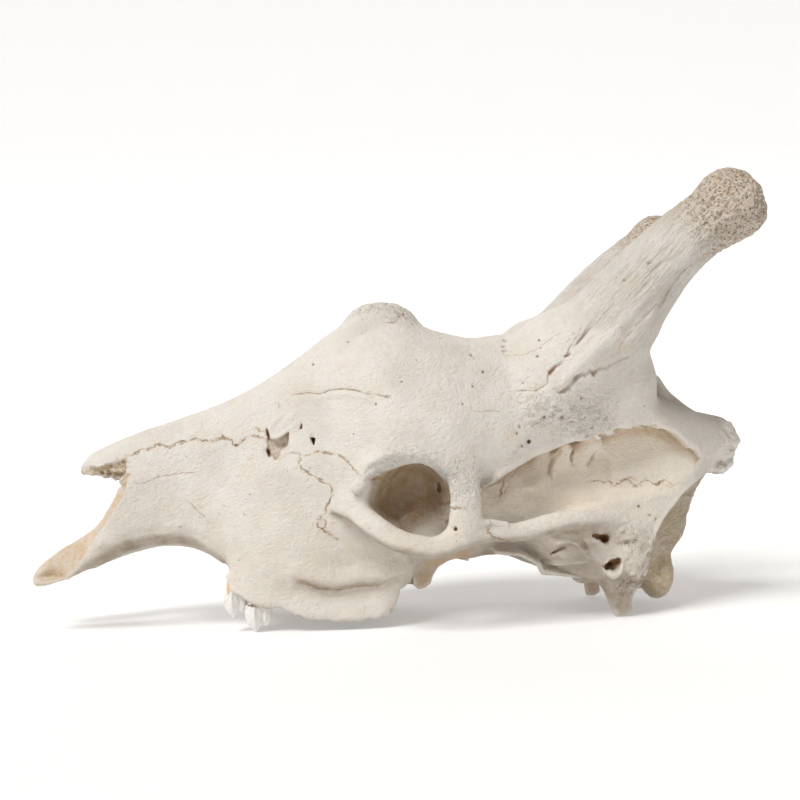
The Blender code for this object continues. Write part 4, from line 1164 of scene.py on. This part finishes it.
def paintBone(mesh, block):
    # places and strengths that the bone's material reads
    spots = readAll(mesh.vertices, "co") * perMetre
    normals = readAll(mesh.vertices, "normal")
    coarse = block.field[::2, ::2, ::2]
    filled = np.clip(0.5 - coarse / (2 * block.voxel), 0, 1).astype(np.float32)
    creases = sampled(blurred(filled, 3.2 / block.voxel / 2), block.low / 2, block.voxel * 2, spots)
    hollows = sampled(blurred(filled, 11.0 / block.voxel / 2), block.low / 2, block.voxel * 2, spots)
    left = toLeft(spots)
    knob = knobStrength(spots, left, 82)

    def blob(name):
        middle, full, fade = tints[name]
        return 1 - ramp(np.sqrt(((left - np.array(middle, np.float32)) ** 2).sum(1)), full, fade)

    def zone(outline, fade=3.0):
        return ramp(-insideOutline(outline)[0](left[:, 0], left[:, 2]), -fade, fade)

    # deep hollows, where tan is painted as shade
    inside = ramp(hollows, 0.56, 0.72)
    # the eye socket's brown, which is partly painted shade
    orbit = blob("orbit") * (left[:, 1] > -101)
    bevel = zone(tints["noseFront"], 1.2) * (left[:, 2] < 154)
    snout = zone(bone["tornNose"], 1.5)
    at = {name: nearLine(left, *row) for name, row in places["coloured"].items()}
    farTip = nearLine(spots, *places["farTip"])
    broken = 0.7 * zone(tints["brokenHole"], 1.0) * (left[:, 1] < -20)
    # tan on the nose front and tip, the hook, the far tip and the broken hole, and tan painted shade in deep hollows
    tan = np.clip(np.maximum.reduce([bevel, snout, at["hook"], farTip, broken, inside * 0.8]), 0, 1)
    # painted light: the sunk temple hollow is painted lighter than the rest
    hollow = [row[:2] for row in bone["templeRim"]] + bone["crestEdge"]
    hollow += [(293, 150), (291, 144), (270, 118), (170, 108), (72, 100)]
    temple = zone(hollow) * (left[:, 1] > -88)
    cream = 0.5 * (1 - ramp(left[:, 2], 60, 150)) * (1 - temple)
    # the neck face behind the crest: its darker tone is partly painted shade
    behind = bone["neckCrest"] + [(236, 36), (330, 36), (330, 134)]
    neckFace = zone(behind, 1.0) * (left[:, 1] > -80) * (1 - ramp(left[:, 2], 128, 140))
    # the condyle: its yellowish tone, darkened with painted shade, on faces turned backwards or to the left
    condyle = zone(tints["condyle"], 2.5) * (left[:, 1] > -52) * ramp(normals[:, 0] - normals[:, 1], -0.9, 0.2)
    # painted shade: darker on faces turned down, and along the keel under the muzzle
    down = ramp(-normals[:, 2], 0.0, 0.75) * (1 - ramp(left[:, 2], 110, 170)) * (1 - ramp(left[:, 0], 300, 320))
    keel = nearLine(left, flip([row[:3] for row in bone["keel"]], -1), 5, 12) * (left[:, 0] > -286)
    down = np.maximum(down, 0.9 * keel)
    # painted shade on zones that lie in shadow: the wing, the ear's blade, the front of the temple hollow and the back
    # of the cheek
    wing = zone(tints["wing"]) * (left[:, 1] > -88)
    templeFront = zone(tints["templeFront"]) * temple
    cheekBack = zone(tints["cheekBack"], 5.0) * (left[:, 1] > -78)
    shaded = np.maximum.reduce([0.6 * wing, 1.1 * zone(tints["blade"]), down, 0.5 * templeFront, 0.7 * cheekBack])
    shaded = np.clip(shaded * (1 - farTip), 0, 1)
    # brown in openings, and painted shade along the edge of the horn's tongue
    opening = np.zeros(len(left), np.float32)
    for strength, face, radius, (x0, z0), (x1, z1) in tints["openings"]:
        face = face or (abs(block.onSide(x0 - 9, z0, -1)) + abs(block.onSide(x1 + 9, z1, -1))) / 2
        away = seamDistance(left[:, 0], left[:, 2], [(x0, z0), (x1, z1)])[1]
        deep = ramp(face + left[:, 1], 0.6, 3.0) * (left[:, 1] < 24 - face)
        opening = np.maximum(opening, strength * deep * (1 - ramp(away, radius, radius + 1.6)))
    for x, z, r in bone["pores"]:
        away = np.hypot(left[:, 0] - x, left[:, 2] - z)
        opening = np.maximum(opening, (1 - ramp(away, 0.5 * r, 0.6 * r + 0.9)) * (left[:, 1] < -20))
    at.update(snout=snout, neckFace=neckFace)

    def strongest(**shares):
        return np.clip(np.maximum.reduce([share * at[name] for name, share in shares.items()]), 0, 1)

    rough = strongest(patch=1, mastoid=1, nape=0.35, bulge=1, bump=0.8, brow=1, snout=1, neckFace=0.35)
    beads = strongest(brow=1, back=0.8, patch=0.8, crown=0.5, mastoid=0.5, nape=0.25, bump=0.5, neckFace=0.3, snout=0.8)
    bead = mesh.attributes.new("beads", "FLOAT", "POINT")
    bead.data.foreach_set("value", beads.astype(np.float32))
    storeVector(mesh, "relief", (creases, condyle, rough))
    # tan with its painted shade in hollows, the eye socket's brown with painted shade, and cream lower down
    storeVector(mesh, "stain", (tan, orbit, cream))
    # painted shading: the painted shade, the neck face's partly painted shade and the temple's painted light
    storeVector(mesh, "dustAndPaintedShading", (shaded, np.maximum(neckFace * (1 - condyle), 0), temple))
    horn = nearLine(left, flip(bone["hornAxis"], -1), 34, 60) * ramp(left[:, 2], 196, 230)
    storeVector(mesh, "horn", (knob, horn, opening))
    drawSeams(mesh, spots, normals)


boneLook = {
    "light": "#EFEBE4",
    "grey": "#E5E0D8",
    "warm": "#EBE1D2",
    "dustAndPaintedShading": "#CDC2B2",
    "cream": "#EADCC6",
    # painted light for the sunk temple hollow
    "temple": "#FCF2E2",
    "tan": "#D3B48C",
    # painted shade
    "shade": "#89755D",
    # darker in creases
    "creaseDark": "#A5906F",
    # brown, partly painted shade
    "orbit": "#A1845F",
    # yellowish, darkened with painted shade
    "condyle": "#BFAA80",
    # partly painted shade
    "neck": "#A8946F",
    "seam": "#C6974F",
    "deepSeam": "#8E6532",
    "pit": "#CE9C5E",
    "pore": "#B9844C",
    "opening": "#8F6437",
    "roughness": 0.62,
    "ior": 1.45,
    "gloss": 0.35,
    "seeThrough": 0.1,
    "scatter": (1.0, 0.6, 0.4),  # how far red, green and blue go in, times the depth in metres
    "scatterDepth": 0.002,
    "relief": 1.0,  # how strongly the fine relief shows
}


def boneMaterial():
    # Dry bleached bone. Sun and water left it chalky, so it is matt and a little see-through at thin edges.
    material, tree, shader = newMaterial("bleached bone")
    look = {name: linear(value) if str(value).startswith("#") else value for name, value in boneLook.items()}
    spot = addNode(tree, "ShaderNodeTexCoord", out=3)
    spot = addNode(tree, "ShaderNodeVectorMath", {0: spot, "Scale": perMetre}, operation="SCALE")  # in mm
    stored = {}
    for name in ("relief", "stain", "horn", "dustAndPaintedShading", "sutures", "branches", "cracks"):
        vector = addNode(tree, "ShaderNodeAttribute", out=1, attribute_name=name)
        stored[name] = addNode(tree, "ShaderNodeSeparateXYZ", {0: vector}).node.outputs
    creases, condyle, rough = stored["relief"]
    tan, orbit, cream = stored["stain"]
    knob, hornMask, opening = stored["horn"]
    # painted shade, the neck face's partly painted shade and the temple's painted light
    shaded, neckFace, temple = stored["dustAndPaintedShading"]

    # coordinates stretched along the bone's fibres, up the horn and down the thin wall of the eye socket
    along = {}
    for name, turn, stretch in (("fibre", -0.35, (6.5, 1.0, 1.0)), ("horn", -0.76, (9.0, 1.0, 1.0)),
                                ("socket", -0.12, (1.0, 2.5, 8.0))):
        turned = {"Vector": spot, "Rotation": (0.0, turn, 0.0), "Scale": stretch}
        along[name] = addNode(tree, "ShaderNodeMapping", turned, vector_type="TEXTURE")
    # noises with the size of their largest bumps in mm. Real bone's grain is finer, and wouldn't show in the picture.
    noises = {}
    for name, vector, size, detail, roughness in (
            ("wide", spot, 55, 4.0, 0.6), ("clouds", spot, 18, 5.0, 0.65), ("patches", spot, 6.5, 4.0, 0.7),
            ("clusters", spot, 24, 3.0, 0.5), ("soft", spot, 5, 5.0, 0.6), ("small", spot, 2.2, 3.0, 0.7),
            ("mottle", spot, 1.6, 3.0, 0.7), ("lumps", spot, 3.6, 3.0, 0.6), ("fibre", along["fibre"], 1.5, 4.0, 0.62),
            ("furrows", along["horn"], 2.8, 5.0, 0.64), ("stripes", along["socket"], 3.4, 3.0, 0.5),
            ("wander", spot, 5, 3.0, 0.75), ("breaks", spot, 6, 3.0, 0.5)):
        noise = {"Vector": vector, "Scale": 1 / size, "Detail": detail, "Roughness": roughness}
        noises[name] = addNode(tree, "ShaderNodeTexNoise", noise)
    # cells for the open pores of the horn's knob, about 3 mm apart, and for vessel holes, 6 mm apart
    bent = addNode(tree, "ShaderNodeTexNoise", {"Vector": spot, "Scale": 1 / 4, "Detail": 2.0}, out=1)
    bent = addNode(tree, "ShaderNodeVectorMath", {0: bent, 1: (2.8, 2.8, 2.8), 2: spot}, operation="MULTIPLY_ADD")
    cells = addNode(tree, "ShaderNodeTexVoronoi", {"Vector": bent, "Scale": 1 / 2.9, "Randomness": 0.95})
    holes = addNode(tree, "ShaderNodeTexVoronoi", {"Vector": bent, "Scale": 1 / 6.0, "Randomness": 1.0}).node.outputs
    chance = addNode(tree, "ShaderNodeSeparateColor", {0: holes[1]})

    # smooth steps from one strength to another
    steps = {}
    for name, value, low, high, start, end in (
            ("grey", noises["wide"], 0.4, 0.62, 0.0, 1.0), ("warm", noises["clouds"], 0.48, 0.72, 0.0, 0.6),
            ("mottle", noises["mottle"], 0.5, 0.75, 0.0, 0.36), ("streaks", noises["fibre"], 0.56, 0.76, 0.0, 0.34),
            ("uneven", noises["clouds"], 0.3, 0.7, 0.7, 1.1), ("patchy", noises["patches"], 0.36, 0.64, 0.55, 1.1),
            # the crease step darkens creases, and rubbed lightens raised places
            ("stripes", noises["stripes"], 0.5, 0.7, 0.0, 0.16), ("creaseDark", creases, 0.57, 0.78, 0.0, 0.5),
            ("rubbed", creases, 0.45, 0.3, 0.0, 0.5), ("pits", cells, 0.1, 0.5, 1.0, 0.0),
            ("wideHole", chance, 0.5, 1.0, 0.0, 0.15), ("clusters", noises["clusters"], 0.42, 0.58, 0.15, 1.0),
            ("flecks", noises["breaks"], 0.4, 0.62, 0.0, 0.7), ("gaps", noises["breaks"], 0.36, 0.55, 0.35, 1.0),
            ("grooves", noises["furrows"], 0.54, 0.36, 0.0, 0.5)):
        edges = {"Value": value, "From Min": low, "From Max": high, "To Min": start, "To Max": end}
        steps[name] = addNode(tree, "ShaderNodeMapRange", edges, interpolation_type="SMOOTHSTEP")
    # strengths that depend on two things
    face = addNode(tree, "ShaderNodeMath", {0: 1.0, 1: hornMask}, operation="SUBTRACT")
    both = {}
    for name, first, second in (("stain", steps["uneven"], steps["patchy"]), ("stripes", steps["stripes"], orbit),
                                ("furrows", noises["furrows"], hornMask), ("fibre", noises["fibre"], face),
                                ("grooves", steps["grooves"], hornMask), ("lumps", noises["lumps"], rough),
                                ("pits", steps["pits"], knob), ("wideHole", steps["wideHole"], steps["clusters"]),
                                ("opening", opening, 0.9), ("orbit", orbit, steps["uneven"])):
        both[name] = addNode(tree, "ShaderNodeMath", {0: first, 1: second}, operation="MULTIPLY")
    pitTint = addNode(tree, "ShaderNodeMath", {0: both["pits"], 1: steps["uneven"]}, operation="MULTIPLY")
    hole = addNode(tree, "ShaderNodeMath", {0: both["wideHole"], 1: holes[0]}, operation="SUBTRACT")
    hole = addNode(tree, "ShaderNodeMapRange", {"Value": hole, "From Min": 0.0, "From Max": 0.06})

    # layers of colour: slow change between light, grey and warm bone, then mottling and fibres, then stains, cream
    # lower down, painted light in the temple, painted shade underneath and in shadowed zones, condyle and neck tones
    # partly painted shade, tan where soft tissue lay and tan painted shade in hollows, brown and painted shade in the
    # eye socket, then darker creases, rubbed edges and holes
    colour = look["light"]
    layers = [("grey", steps["grey"], 1.0), ("warm", steps["warm"], 1.0), ("dustAndPaintedShading", steps["mottle"], 1.0),
              ("dustAndPaintedShading", steps["streaks"], 1.0), ("dustAndPaintedShading", both["grooves"], 1.0)]
    for tint, amount, spread, most in (
            # temple is painted light, shade is painted shade, and condyle and neck are partly painted shade
            ("cream", cream, both["stain"], 0.6), ("temple", temple, steps["uneven"], 0.95),
            ("condyle", condyle, both["stain"], 0.85), ("shade", shaded, steps["uneven"], 0.72),
            ("neck", neckFace, steps["uneven"], 0.62), ("tan", tan, both["stain"], 0.7),
            ("tan", knob, both["stain"], 0.4)):
        layers.append((tint, addNode(tree, "ShaderNodeMath", {0: amount, 1: spread}, operation="MULTIPLY"), most))
    # orbit is brown with painted shade, and the crease layer darkens creases
    layers += [("orbit", both["orbit"], 0.85), ("deepSeam", both["stripes"], 1.0), ("creaseDark", steps["creaseDark"], 1.0),
               ("light", steps["rubbed"], 1.0), ("opening", both["opening"], 1.0), ("pit", pitTint, 0.7),
               ("pore", hole, 0.75)]
    for tint, amount, most in layers:
        amount = addNode(tree, "ShaderNodeMath", {0: amount, 1: most}, operation="MULTIPLY", use_clamp=True)
        mixed = {"Factor": amount, "A": colour, "B": look[tint]}
        colour = addNode(tree, "ShaderNodeMix", mixed, out=2, data_type="RGBA")

    # relief in mm: soft waves, fibre grain, furrows of the horn, grain of rough places, pores and holes
    height = addNode(tree, "ShaderNodeMath", {0: noises["soft"], 1: 1.9}, operation="MULTIPLY")
    for part, most in ((noises["small"], 1.1), (both["fibre"], 1.1), (both["furrows"], 4.8), (both["lumps"], 1.8),
                       (both["pits"], -2.6), (hole, -0.9)):
        height = addNode(tree, "ShaderNodeMath", {0: part, 1: most, 2: height}, operation="MULTIPLY_ADD")

    # sutures wander and are broken up, and cracks are finer and straighter
    wander = addNode(tree, "ShaderNodeMath", {0: noises["wander"], 1: 0.5}, operation="SUBTRACT")
    mixed = {"Factor": steps["flecks"], "A": look["seam"], "B": look["deepSeam"]}
    brown = addNode(tree, "ShaderNodeMix", mixed, out=2, data_type="RGBA")
    for name, bend, narrow, wide, deep, most in (("sutures", 10.0, 0.15, 1.15, 0.9, 0.8),
                                                 ("branches", 8.0, 0.1, 1.1, 0.8, 0.8),
                                                 ("cracks", 3.5, 0.1, 0.8, 0.7, 0.75)):
        signed, plain, strength = stored[name]
        line = addNode(tree, "ShaderNodeMath", {0: wander, 1: bend, 2: signed}, operation="MULTIPLY_ADD")
        line = addNode(tree, "ShaderNodeMath", {0: line}, operation="ABSOLUTE")
        edges = {"Value": line, "From Min": narrow, "From Max": wide, "To Min": 1.0, "To Max": 0.0}
        line = addNode(tree, "ShaderNodeMapRange", edges, interpolation_type="SMOOTHSTEP")
        edges = {"Value": plain, "From Min": 4.5, "From Max": 6.5, "To Min": 1.0, "To Max": 0.0}
        close = addNode(tree, "ShaderNodeMapRange", edges)
        for factor in (close, strength, steps["gaps"]):
            line = addNode(tree, "ShaderNodeMath", {0: line, 1: factor}, operation="MULTIPLY")
        height = addNode(tree, "ShaderNodeMath", {0: line, 1: -deep, 2: height}, operation="MULTIPLY_ADD")
        line = addNode(tree, "ShaderNodeMath", {0: line, 1: most}, operation="MULTIPLY")
        colour = addNode(tree, "ShaderNodeMix", {"Factor": line, "A": colour, "B": brown}, out=2, data_type="RGBA")

    bump = addNode(tree, "ShaderNodeBump", {"Height": height, "Strength": look["relief"], "Distance": 0.001})
    tree.links.new(colour, shader.inputs["Base Color"])
    tree.links.new(bump, shader.inputs["Normal"])
    setInputs(shader, {"Roughness": look["roughness"], "IOR": look["ior"], "Specular IOR Level": look["gloss"],
                       "Subsurface Weight": look["seeThrough"], "Subsurface Radius": look["scatter"],
                       "Subsurface Scale": look["scatterDepth"]})
    return material


def buildCranium(material):
    voxel = bone["voxel"]
    block = blockOf(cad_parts["cranium"], voxel, 2)
    block.blur(bone["smoothing"])
    print("cranium: solid read as distances", block.field.shape)
    for step in (sculptFace, sculptOrbit, sculptTemple, sculptEar, sculptBack, sculptNose, sculptBase, sculptHorns):
        step(block)
    trimWall(block)
    roughen(block)
    print("cranium: sculpted")
    mesh = meshFrom("cranium_bone", *block.polygons(0.0))
    mesh = thinned("cranium_bone", mesh, bone["triangles"])
    mesh = mainBody(mesh)
    mesh.materials.clear()
    mesh.materials.append(material)
    mesh.shade_smooth()
    paintBone(mesh, block)
    thing = place("cranium_bone", mesh)
    print("cranium:", len(mesh.polygons), "triangles")
    return thing


# Small grains of bone that stand on the rough places: rims, muscle scars and the broken nose tip
grains = {
    "perSquareMetre": 260000.0,
    "radius": 0.001,
    "leastScale": (0.6, 0.5, 0.3),
    "mostScale": (1.7, 1.2, 0.75),
    "seed": 5,
}


def buildGrains(cranium, material):
    tree = bpy.data.node_groups.new("bone grains", "GeometryNodeTree")
    tree.interface.new_socket("Geometry", in_out="INPUT", socket_type="NodeSocketGeometry")
    sizes = {}
    for name, kind, value in (("Density", "NodeSocketFloat", grains["perSquareMetre"]),
                              ("Radius", "NodeSocketFloat", grains["radius"]),
                              ("Least Scale", "NodeSocketVector", grains["leastScale"]),
                              ("Most Scale", "NodeSocketVector", grains["mostScale"])):
        sizes[tree.interface.new_socket(name, in_out="INPUT", socket_type=kind).identifier] = value
    tree.interface.new_socket("Geometry", in_out="OUTPUT", socket_type="NodeSocketGeometry")
    given = tree.nodes.new("NodeGroupInput").outputs
    where = addNode(tree, "GeometryNodeInputNamedAttribute", {"Name": "beads"}, data_type="FLOAT")
    density = addNode(tree, "ShaderNodeMath", {0: where, 1: given["Density"]}, operation="MULTIPLY")
    spread = {"Mesh": given["Geometry"], "Density": density, "Seed": grains["seed"]}
    scatter = addNode(tree, "GeometryNodeDistributePointsOnFaces", spread, distribute_method="RANDOM").node.outputs
    grain = addNode(tree, "GeometryNodeMeshIcoSphere", {"Radius": given["Radius"], "Subdivisions": 1})
    sizeRange = {0: given["Least Scale"], 1: given["Most Scale"], "Seed": grains["seed"]}
    size = addNode(tree, "FunctionNodeRandomValue", sizeRange, data_type="FLOAT_VECTOR")
    placed = {"Points": scatter["Points"], "Instance": grain, "Rotation": scatter["Rotation"], "Scale": size}
    placed = addNode(tree, "GeometryNodeInstanceOnPoints", placed)
    real = addNode(tree, "GeometryNodeRealizeInstances", {"Geometry": placed})
    smooth = addNode(tree, "GeometryNodeSetShadeSmooth", {"Geometry": real})
    dressed = addNode(tree, "GeometryNodeSetMaterial", {"Geometry": smooth, "Material": material})
    addNode(tree, "NodeGroupOutput", {"Geometry": dressed})
    holder = place("bone_grains", cranium.data)
    modifier = holder.modifiers.new("bone grains", "NODES")
    modifier.node_group = tree
    for identifier, value in sizes.items():
        modifier[identifier] = value
    mesh = bpy.data.meshes.new_from_object(holder.evaluated_get(bpy.context.evaluated_depsgraph_get()))
    bpy.data.objects.remove(holder)
    thing = place("bone_grains", mesh)
    print("grains:", len(mesh.polygons), "triangles")
    return thing


# The four premolars, as the left side's bars of x, half width, z and radius
teeth = {
    "voxel": 0.42,
    "quickVoxel": 0.8,
    "widths": (42, 66),  # between these half widths
    "margin": 9,  # in front and behind
    "neckRing": (53, 9.5, 1.6),  # half width of its middle, radius and thickness
    "rootLine": 1.5,  # the root starts so far above the neck
    "front": {
        "neck": 37.0,
        "crown": [
            [(-158.5, 52.6, 40, 6.2), (-159.2, 53.2, 31, 7.1), (-159.4, 53.6, 24, 6.1), (-159.0, 53.8, 19, 3.6),
             (-158.8, 53.8, 15.9, 1.5)],
            [(-151.5, 52.4, 40, 5.0), (-151.0, 52.8, 30, 4.8), (-150.8, 52.9, 25, 4.0), (-151.0, 52.8, 20.8, 1.5)],
            [(-156.5, 49.6, 38, 4.4), (-156.0, 49.8, 28, 3.6), (-156.0, 50.2, 22.5, 1.6)],
            [(-165.4, 54.2, 36, 1.3), (-165.7, 54.6, 28, 1.2), (-164.2, 54.6, 22, 0.8)],
            [(-155.0, 57.4, 37, 1.1), (-155.1, 57.6, 29, 1.0), (-155.0, 56.6, 23, 0.7)],
            [(-159.8, 59.3, 38, 1.2), (-159.8, 60.0, 28, 1.3), (-159.3, 57.6, 20, 0.8)],
        ],
        "roots": [
            [(-159.0, 53.0, 36, 6.0), (-160.6, 53.2, 46, 4.2), (-160.0, 52.6, 57, 1.8)],
            [(-152.0, 53.0, 36, 4.6), (-151.6, 53.2, 46, 3.4), (-152.0, 52.8, 57, 1.6)],
            [(-156.0, 50.0, 36, 4.2), (-156.0, 49.6, 46, 3.2), (-156.0, 50.2, 57, 1.6)],
        ],
        "valleys": [[(-163.5, 52.4, 17.5, 1.3), (-157.0, 51.8, 21, 1.5), (-149.5, 51.6, 22, 1.3)]],
    },
    "back": {
        "neck": 25.0,
        "crown": [
            [(-139.0, 53.4, 28, 6.8), (-139.2, 54.0, 18, 7.8), (-138.8, 54.2, 11, 6.6), (-137.9, 54.4, 5, 3.6),
             (-137.5, 54.4, 1.8, 1.5)],
            [(-130.0, 53.2, 28, 6.2), (-128.6, 54.0, 18, 5.6), (-128.4, 54.3, 12, 4.5), (-128.8, 54.2, 7.0, 1.9)],
            [(-137.0, 49.8, 26, 4.8), (-136.6, 50.2, 15, 4.0), (-136.4, 50.8, 8, 1.8)],
            [(-130.0, 49.8, 26, 4.4), (-130.0, 50.2, 16, 3.4), (-130.0, 50.8, 10, 1.5)],
            [(-146.4, 55.8, 25, 1.4), (-146.7, 56.2, 16, 1.3), (-144.2, 56.0, 8.5, 0.8)],
            [(-134.0, 58.4, 25, 1.3), (-134.0, 58.8, 15, 1.2), (-134.0, 57.4, 8.5, 0.8)],
            [(-125.2, 56.0, 24, 1.2), (-125.2, 56.2, 16, 1.1), (-125.8, 55.8, 10.5, 0.8)],
            [(-139.2, 61.0, 26, 1.3), (-139.2, 61.8, 16, 1.4), (-138.2, 59.0, 7, 0.8)],
            [(-129.4, 59.0, 25, 1.1), (-129.4, 59.2, 15, 1.0), (-129.4, 57.4, 8.5, 0.7)],
        ],
        "roots": [
            [(-139.0, 54.0, 24, 6.4), (-140.0, 54.0, 36, 4.6), (-139.5, 53.6, 49, 1.8)],
            [(-130.0, 54.0, 24, 5.8), (-129.6, 54.0, 36, 4.2), (-130.0, 53.6, 49, 1.8)],
            [(-134.5, 50.0, 24, 4.6), (-134.5, 49.6, 36, 3.6), (-134.5, 50.4, 49, 1.6)],
        ],
        "valleys": [[(-144.0, 52.8, 8.5, 1.3), (-137.0, 52.4, 8.0, 1.5), (-130.0, 52.4, 10.5, 1.4),
                     (-124.5, 52.8, 13, 1.2)]],
    },
}
enamelLook = {
    "enamel": "#EEEDEA",
    "shade": "#D5D5D3",
    "root": "#E3D5BA",
    "stain": "#C39C66",
    "roughness": 0.28,
    "rootRoughness": 0.55,
    "ior": 1.62,
    "rootIor": 1.54,
    "seeThrough": 0.15,
    "scatter": (1.0, 0.8, 0.6),
    "scatterDepth": 0.0015,
}


def toothMaterials():
    look, made = enamelLook, []
    for name, low, high, rough, ior, stretch in (
            # Enamel is dense mineral, so it is smooth and bluish white, with brown only in its hairline cracks
            ("tooth enamel", "shade", "enamel", look["roughness"], look["ior"], 0.5),
            # Root dentine is softer and drinks in colour, so it is cream and dull
            ("root dentine", "stain", "root", look["rootRoughness"], look["rootIor"], 0.25)):
        material, tree, shader = newMaterial(name)
        spot = addNode(tree, "ShaderNodeTexCoord", out=3)
        spot = addNode(tree, "ShaderNodeVectorMath", {0: spot, "Scale": perMetre}, operation="SCALE")  # in mm
        drawn = addNode(tree, "ShaderNodeMapping", {"Vector": spot, "Scale": (1.0, 1.0, stretch)})
        clouds = addNode(tree, "ShaderNodeTexNoise",
                         {"Vector": drawn, "Scale": 1 / 3.5, "Detail": 4.0, "Roughness": 0.6})
        fade = addNode(tree, "ShaderNodeMapRange", {"Value": clouds, "From Min": 0.28, "From Max": 0.5})
        mixed = {"Factor": fade, "A": linear(look[low]), "B": linear(look[high])}
        colour = addNode(tree, "ShaderNodeMix", mixed, out=2, data_type="RGBA")
        lines = addNode(tree, "ShaderNodeMapping", {"Vector": spot, "Scale": (1.0, 1.0, 0.12)})
        lines = addNode(tree, "ShaderNodeTexNoise", {"Vector": lines, "Scale": 1 / 1.6, "Detail": 3.0})
        crack = addNode(tree, "ShaderNodeMath", {0: lines, 1: 0.5}, operation="SUBTRACT")
        crack = addNode(tree, "ShaderNodeMath", {0: crack}, operation="ABSOLUTE")
        edges = {"Value": crack, "From Min": 0.0, "From Max": 0.02, "To Min": 0.4, "To Max": 0.0}
        crack = addNode(tree, "ShaderNodeMapRange", edges)
        mixed = {"Factor": crack, "A": colour, "B": linear(look["stain"])}
        colour = addNode(tree, "ShaderNodeMix", mixed, out=2, data_type="RGBA")
        height = addNode(tree, "ShaderNodeMath", {0: crack, 1: -0.3, 2: clouds}, operation="MULTIPLY_ADD")
        bump = addNode(tree, "ShaderNodeBump", {"Height": height, "Strength": 0.5, "Distance": 0.0004})
        tree.links.new(colour, shader.inputs["Base Color"])
        tree.links.new(bump, shader.inputs["Normal"])
        setInputs(shader, {"Roughness": rough, "IOR": ior, "Subsurface Weight": look["seeThrough"],
                           "Subsurface Radius": look["scatter"], "Subsurface Scale": look["scatterDepth"]})
        made.append(material)
    return made


def buildTooth(name, spec, side, enamel, dentine):
    voxel = teeth["voxel"]
    rows = np.array([row for shape in spec["crown"] + spec["roots"] for row in shape])
    inner, outer = teeth["widths"]
    low = (rows[:, 0].min() - teeth["margin"], inner, rows[:, 2].min() - 5)
    high = (rows[:, 0].max() + teeth["margin"], outer, rows[:, 2].max() + 5)
    block = DistanceBlock(voxel, low, high, 9.0)
    for part, work, blend in (("crown", block.join, 1.6), ("valleys", block.carve, 1.2), ("roots", block.join, 1.4)):
        for shape in spec[part]:
            work(bar(shape), blend)
    # the narrow neck between crown and root
    middle, rootLine = rows[:, 0].mean(), spec["neck"] + teeth["rootLine"]
    width, reach, thick = teeth["neckRing"]
    neck = [(middle + reach * math.cos(a), width + reach * math.sin(a), rootLine, thick)
            for a in np.linspace(0, 2 * math.pi, 17)]
    block.carve(bar(neck, 1), 1.6)
    cells, spots = block.near(1.5)
    block.field[cells] -= 0.12 * softNoise(spots, (2.2, 2.2, 7), 41) + 0.06 * softNoise(spots, 1.3, 42)
    points, triangles, quads = block.polygons(0.0)
    if side < 0:
        points = points * (1, -1, 1)
    mesh = mainBody(meshFrom(name, points, triangles, quads))
    mesh.materials.append(enamel)
    mesh.materials.append(dentine)
    centres = readAll(mesh.polygons, "center") * perMetre
    wave = 1.6 * np.sin(centres[:, 0] * 0.55) + 1.0 * softNoise(centres, 4, 43)
    mesh.polygons.foreach_set("material_index", (centres[:, 2] > rootLine + wave).astype(np.int32))
    mesh.shade_smooth()
    return place(name, mesh)


placeCamera()
placeStudio()
bleached = boneMaterial()
cranium = buildCranium(bleached)
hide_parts("cranium")
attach(cranium, "root")
rough = buildGrains(cranium, bleached)
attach(rough, "root")

enamel, dentine = toothMaterials()
for side, sideName in zip(sides, ("left", "right")):
    for rank in ("front", "back"):
        tooth = buildTooth("premolar_" + sideName + "_" + rank, teeth[rank], side, enamel, dentine)
        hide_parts("tooth_" + sideName + "_" + rank)
        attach(tooth, "root")
print("teeth: done")
